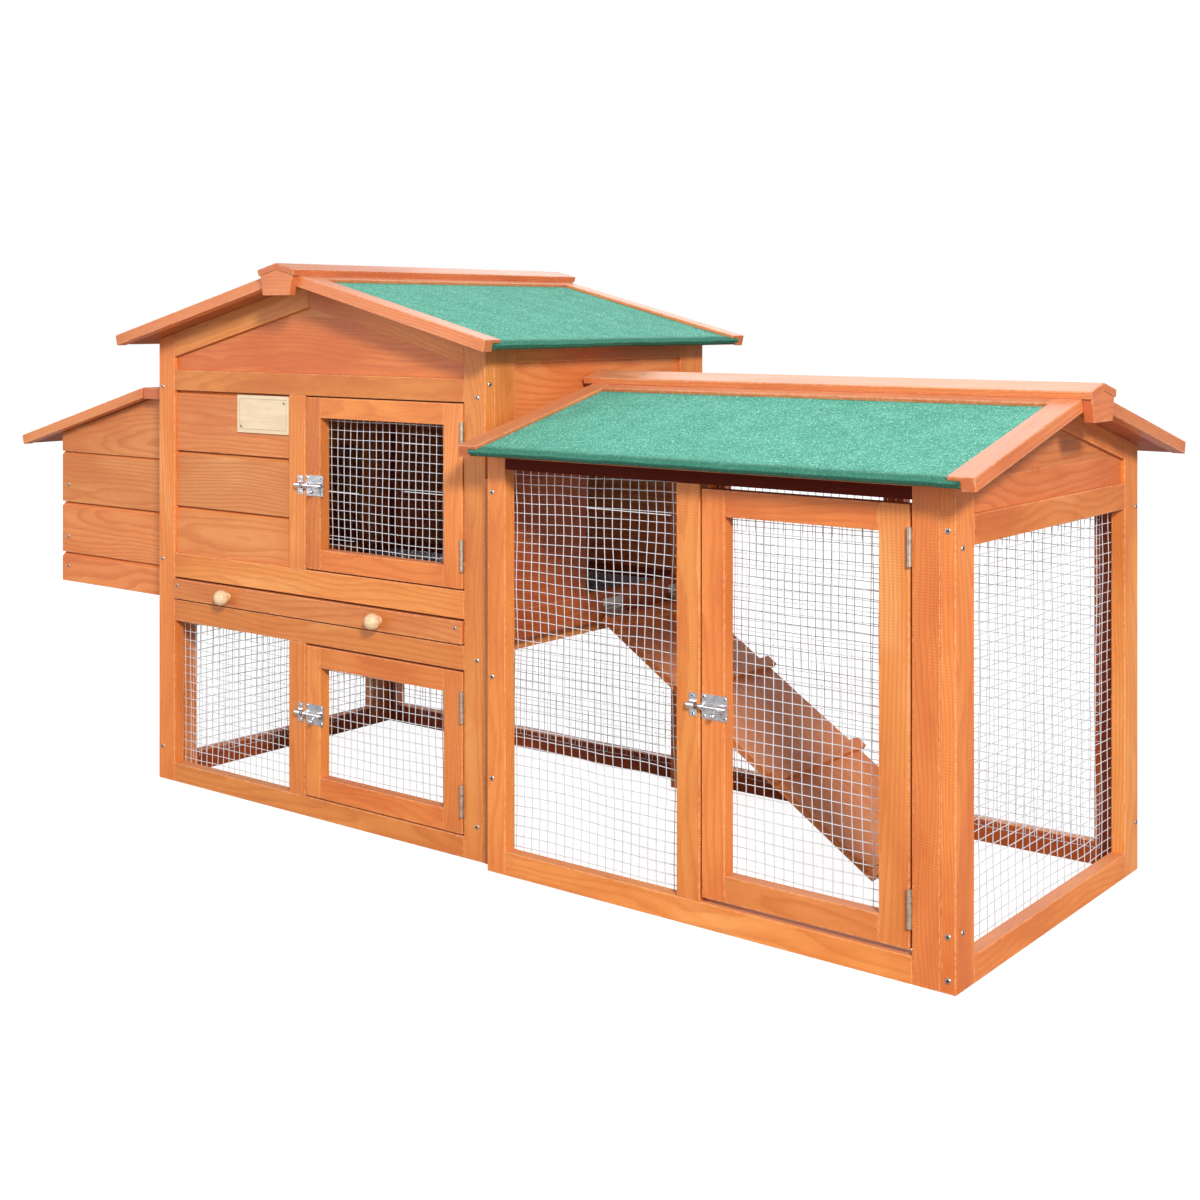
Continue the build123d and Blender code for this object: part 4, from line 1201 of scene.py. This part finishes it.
wireMesh = {
    "pitch": 0.0127,
    "radius": 0.00056,
    "sides": 6,
    "step": 0.0064,      # length of one straight stretch of wire
    "wave": 0.0013,      # how far the wires stray in the plane
    "bulge": 0.0020,     # and out of it
    "slackWave": 0.0034, # the run's front panel was stapled on slack
    "endPitch": 0.0195,  # cells on the run's end are wider than tall
    "inset": 0.004,      # the outer wires' distance from the panel's edge
    "seedApart": 3.7,
}


# Upright and level wires over a rectangle in X and Z, gently bent together.
def makeWireTree():
    tree, t, given, result = newGeometryTree("welded mesh", [
        ("Width", "Float", 0.3), ("Height", "Float", 0.5),
        ("Columns", "Int", 20), ("Rows", "Int", 38), ("Radius", "Float", 0.0006), ("Sides", "Int", 6),
        ("Step", "Float", 0.006), ("Wave", "Float", 0.001),
        ("Bulge", "Float", 0.002), ("Seed", "Float", 0.0), ("Wire", "Material", None)])
    minusWidth = t.by(given["Width"], -0.5)
    minusHeight = t.by(given["Height"], -0.5)
    profile = t.add("GeometryNodeCurvePrimitiveCircle", Resolution=given["Sides"], Radius=given["Radius"])

    def wires(start, spacing, count, end, offset):
        line = t.add("GeometryNodeMeshLine", Count=count)
        t.plug(line.inputs["Start Location"], start)
        t.plug(line.inputs["Offset"], spacing)
        wire = tree.nodes.new("GeometryNodeCurvePrimitiveLine")
        t.plug(wire.inputs["Start"], (0.0, 0.0, 0.0))
        t.plug(wire.inputs["End"], end)
        copies = t.add("GeometryNodeInstanceOnPoints", Points=line.outputs["Mesh"],
                       Instance=wire.outputs["Curve"])
        real = t.add("GeometryNodeRealizeInstances", Geometry=copies.outputs["Instances"])
        fine = tree.nodes.new("GeometryNodeResampleCurve")
        fine.mode = "LENGTH"
        t.fill(fine, Curve=real.outputs["Geometry"], Length=given["Step"])
        position = tree.nodes.new("GeometryNodeInputPosition").outputs[0]
        moved = t.vector("ADD", position, t.join(given["Seed"], given["Seed"], given["Seed"]))
        broad = t.add("ShaderNodeTexNoise", Vector=moved, Scale=7.0, Detail=1.0)
        centred = t.vector("SUBTRACT", broad.outputs[1], (0.5, 0.5, 0.5))
        stray = t.vector("MULTIPLY", centred, t.join(given["Wave"], given["Bulge"], given["Wave"]))
        stray = t.vector("MULTIPLY", stray, (4.0, 4.0, 4.0))
        stray = t.vector("ADD", stray, t.join(0.0, offset, 0.0))
        bent = t.add("GeometryNodeSetPosition", Geometry=fine.outputs["Curve"], Offset=stray)
        tube = t.add("GeometryNodeCurveToMesh", Curve=bent.outputs["Geometry"],
                     Profile_Curve=profile.outputs["Curve"])
        tube.inputs["Fill Caps"].default_value = True
        return tube.outputs["Mesh"]

    acrossStep = t.math("DIVIDE", given["Width"], t.math("SUBTRACT", given["Columns"], 1.0))
    upStep = t.math("DIVIDE", given["Height"], t.math("SUBTRACT", given["Rows"], 1.0))
    corner = t.join(minusWidth, 0.0, minusHeight)
    under = t.by(given["Radius"], -0.9)
    over = t.by(given["Radius"], 0.9)
    uprights = wires(corner, t.join(acrossStep, 0.0, 0.0), given["Columns"],
                     t.join(0.0, 0.0, given["Height"]), under)
    levels = wires(corner, t.join(0.0, 0.0, upStep), given["Rows"], t.join(given["Width"], 0.0, 0.0), over)
    both = tree.nodes.new("GeometryNodeJoinGeometry")
    tree.links.new(uprights, both.inputs[0])
    tree.links.new(levels, both.inputs[0])
    real = t.add("GeometryNodeRealizeInstances", Geometry=both.outputs[0])
    coat = t.add("GeometryNodeSetMaterial", Geometry=real.outputs["Geometry"], Material=given["Wire"])
    smooth = t.add("GeometryNodeSetShadeSmooth", Geometry=coat.outputs["Geometry"])
    t.plug(result["Geometry"], smooth.outputs[0])
    return tree


wireTree = makeWireTree()


def makeWirePanel(node, seed, pitchAcross=wireMesh["pitch"], wave=wireMesh["wave"]):
    low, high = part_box(node)
    size = high - low
    sideways = size.x > size.y
    width = size.x if sideways else size.y
    width, height = width - 2 * wireMesh["inset"], size.z - 2 * wireMesh["inset"]
    columns, rows = round(width / pitchAcross) + 1, round(height / wireMesh["pitch"]) + 1
    mesh = grow(wireTree, node + ".wire", Width=width, Height=height, Columns=columns, Rows=rows,
                Radius=wireMesh["radius"], Sides=wireMesh["sides"], Step=wireMesh["step"], Wave=wave,
                Bulge=wireMesh["bulge"], Seed=seed * wireMesh["seedApart"], Wire=materials["wire"])
    turn = Matrix.Identity(4) if sideways else Matrix.Rotation(math.radians(90), 4, "Z")
    mesh.transform(Matrix.Translation((low + high) / 2) @ turn)
    finish(addPiece(node + ".wire", mesh), node, "wire")


for number, node in enumerate(("house_front_mesh", "house_left_mesh", "house_rear_mesh", "run_rear_mesh",
                               "upper_door_mesh", "lower_door_mesh", "run_door_mesh")):
    makeWirePanel(node, number)
makeWirePanel("run_front_mesh", 8, wave=wireMesh["slackWave"])
makeWirePanel("run_end_mesh", 9, pitchAcross=wireMesh["endPitch"])
print("wire mesh ready")
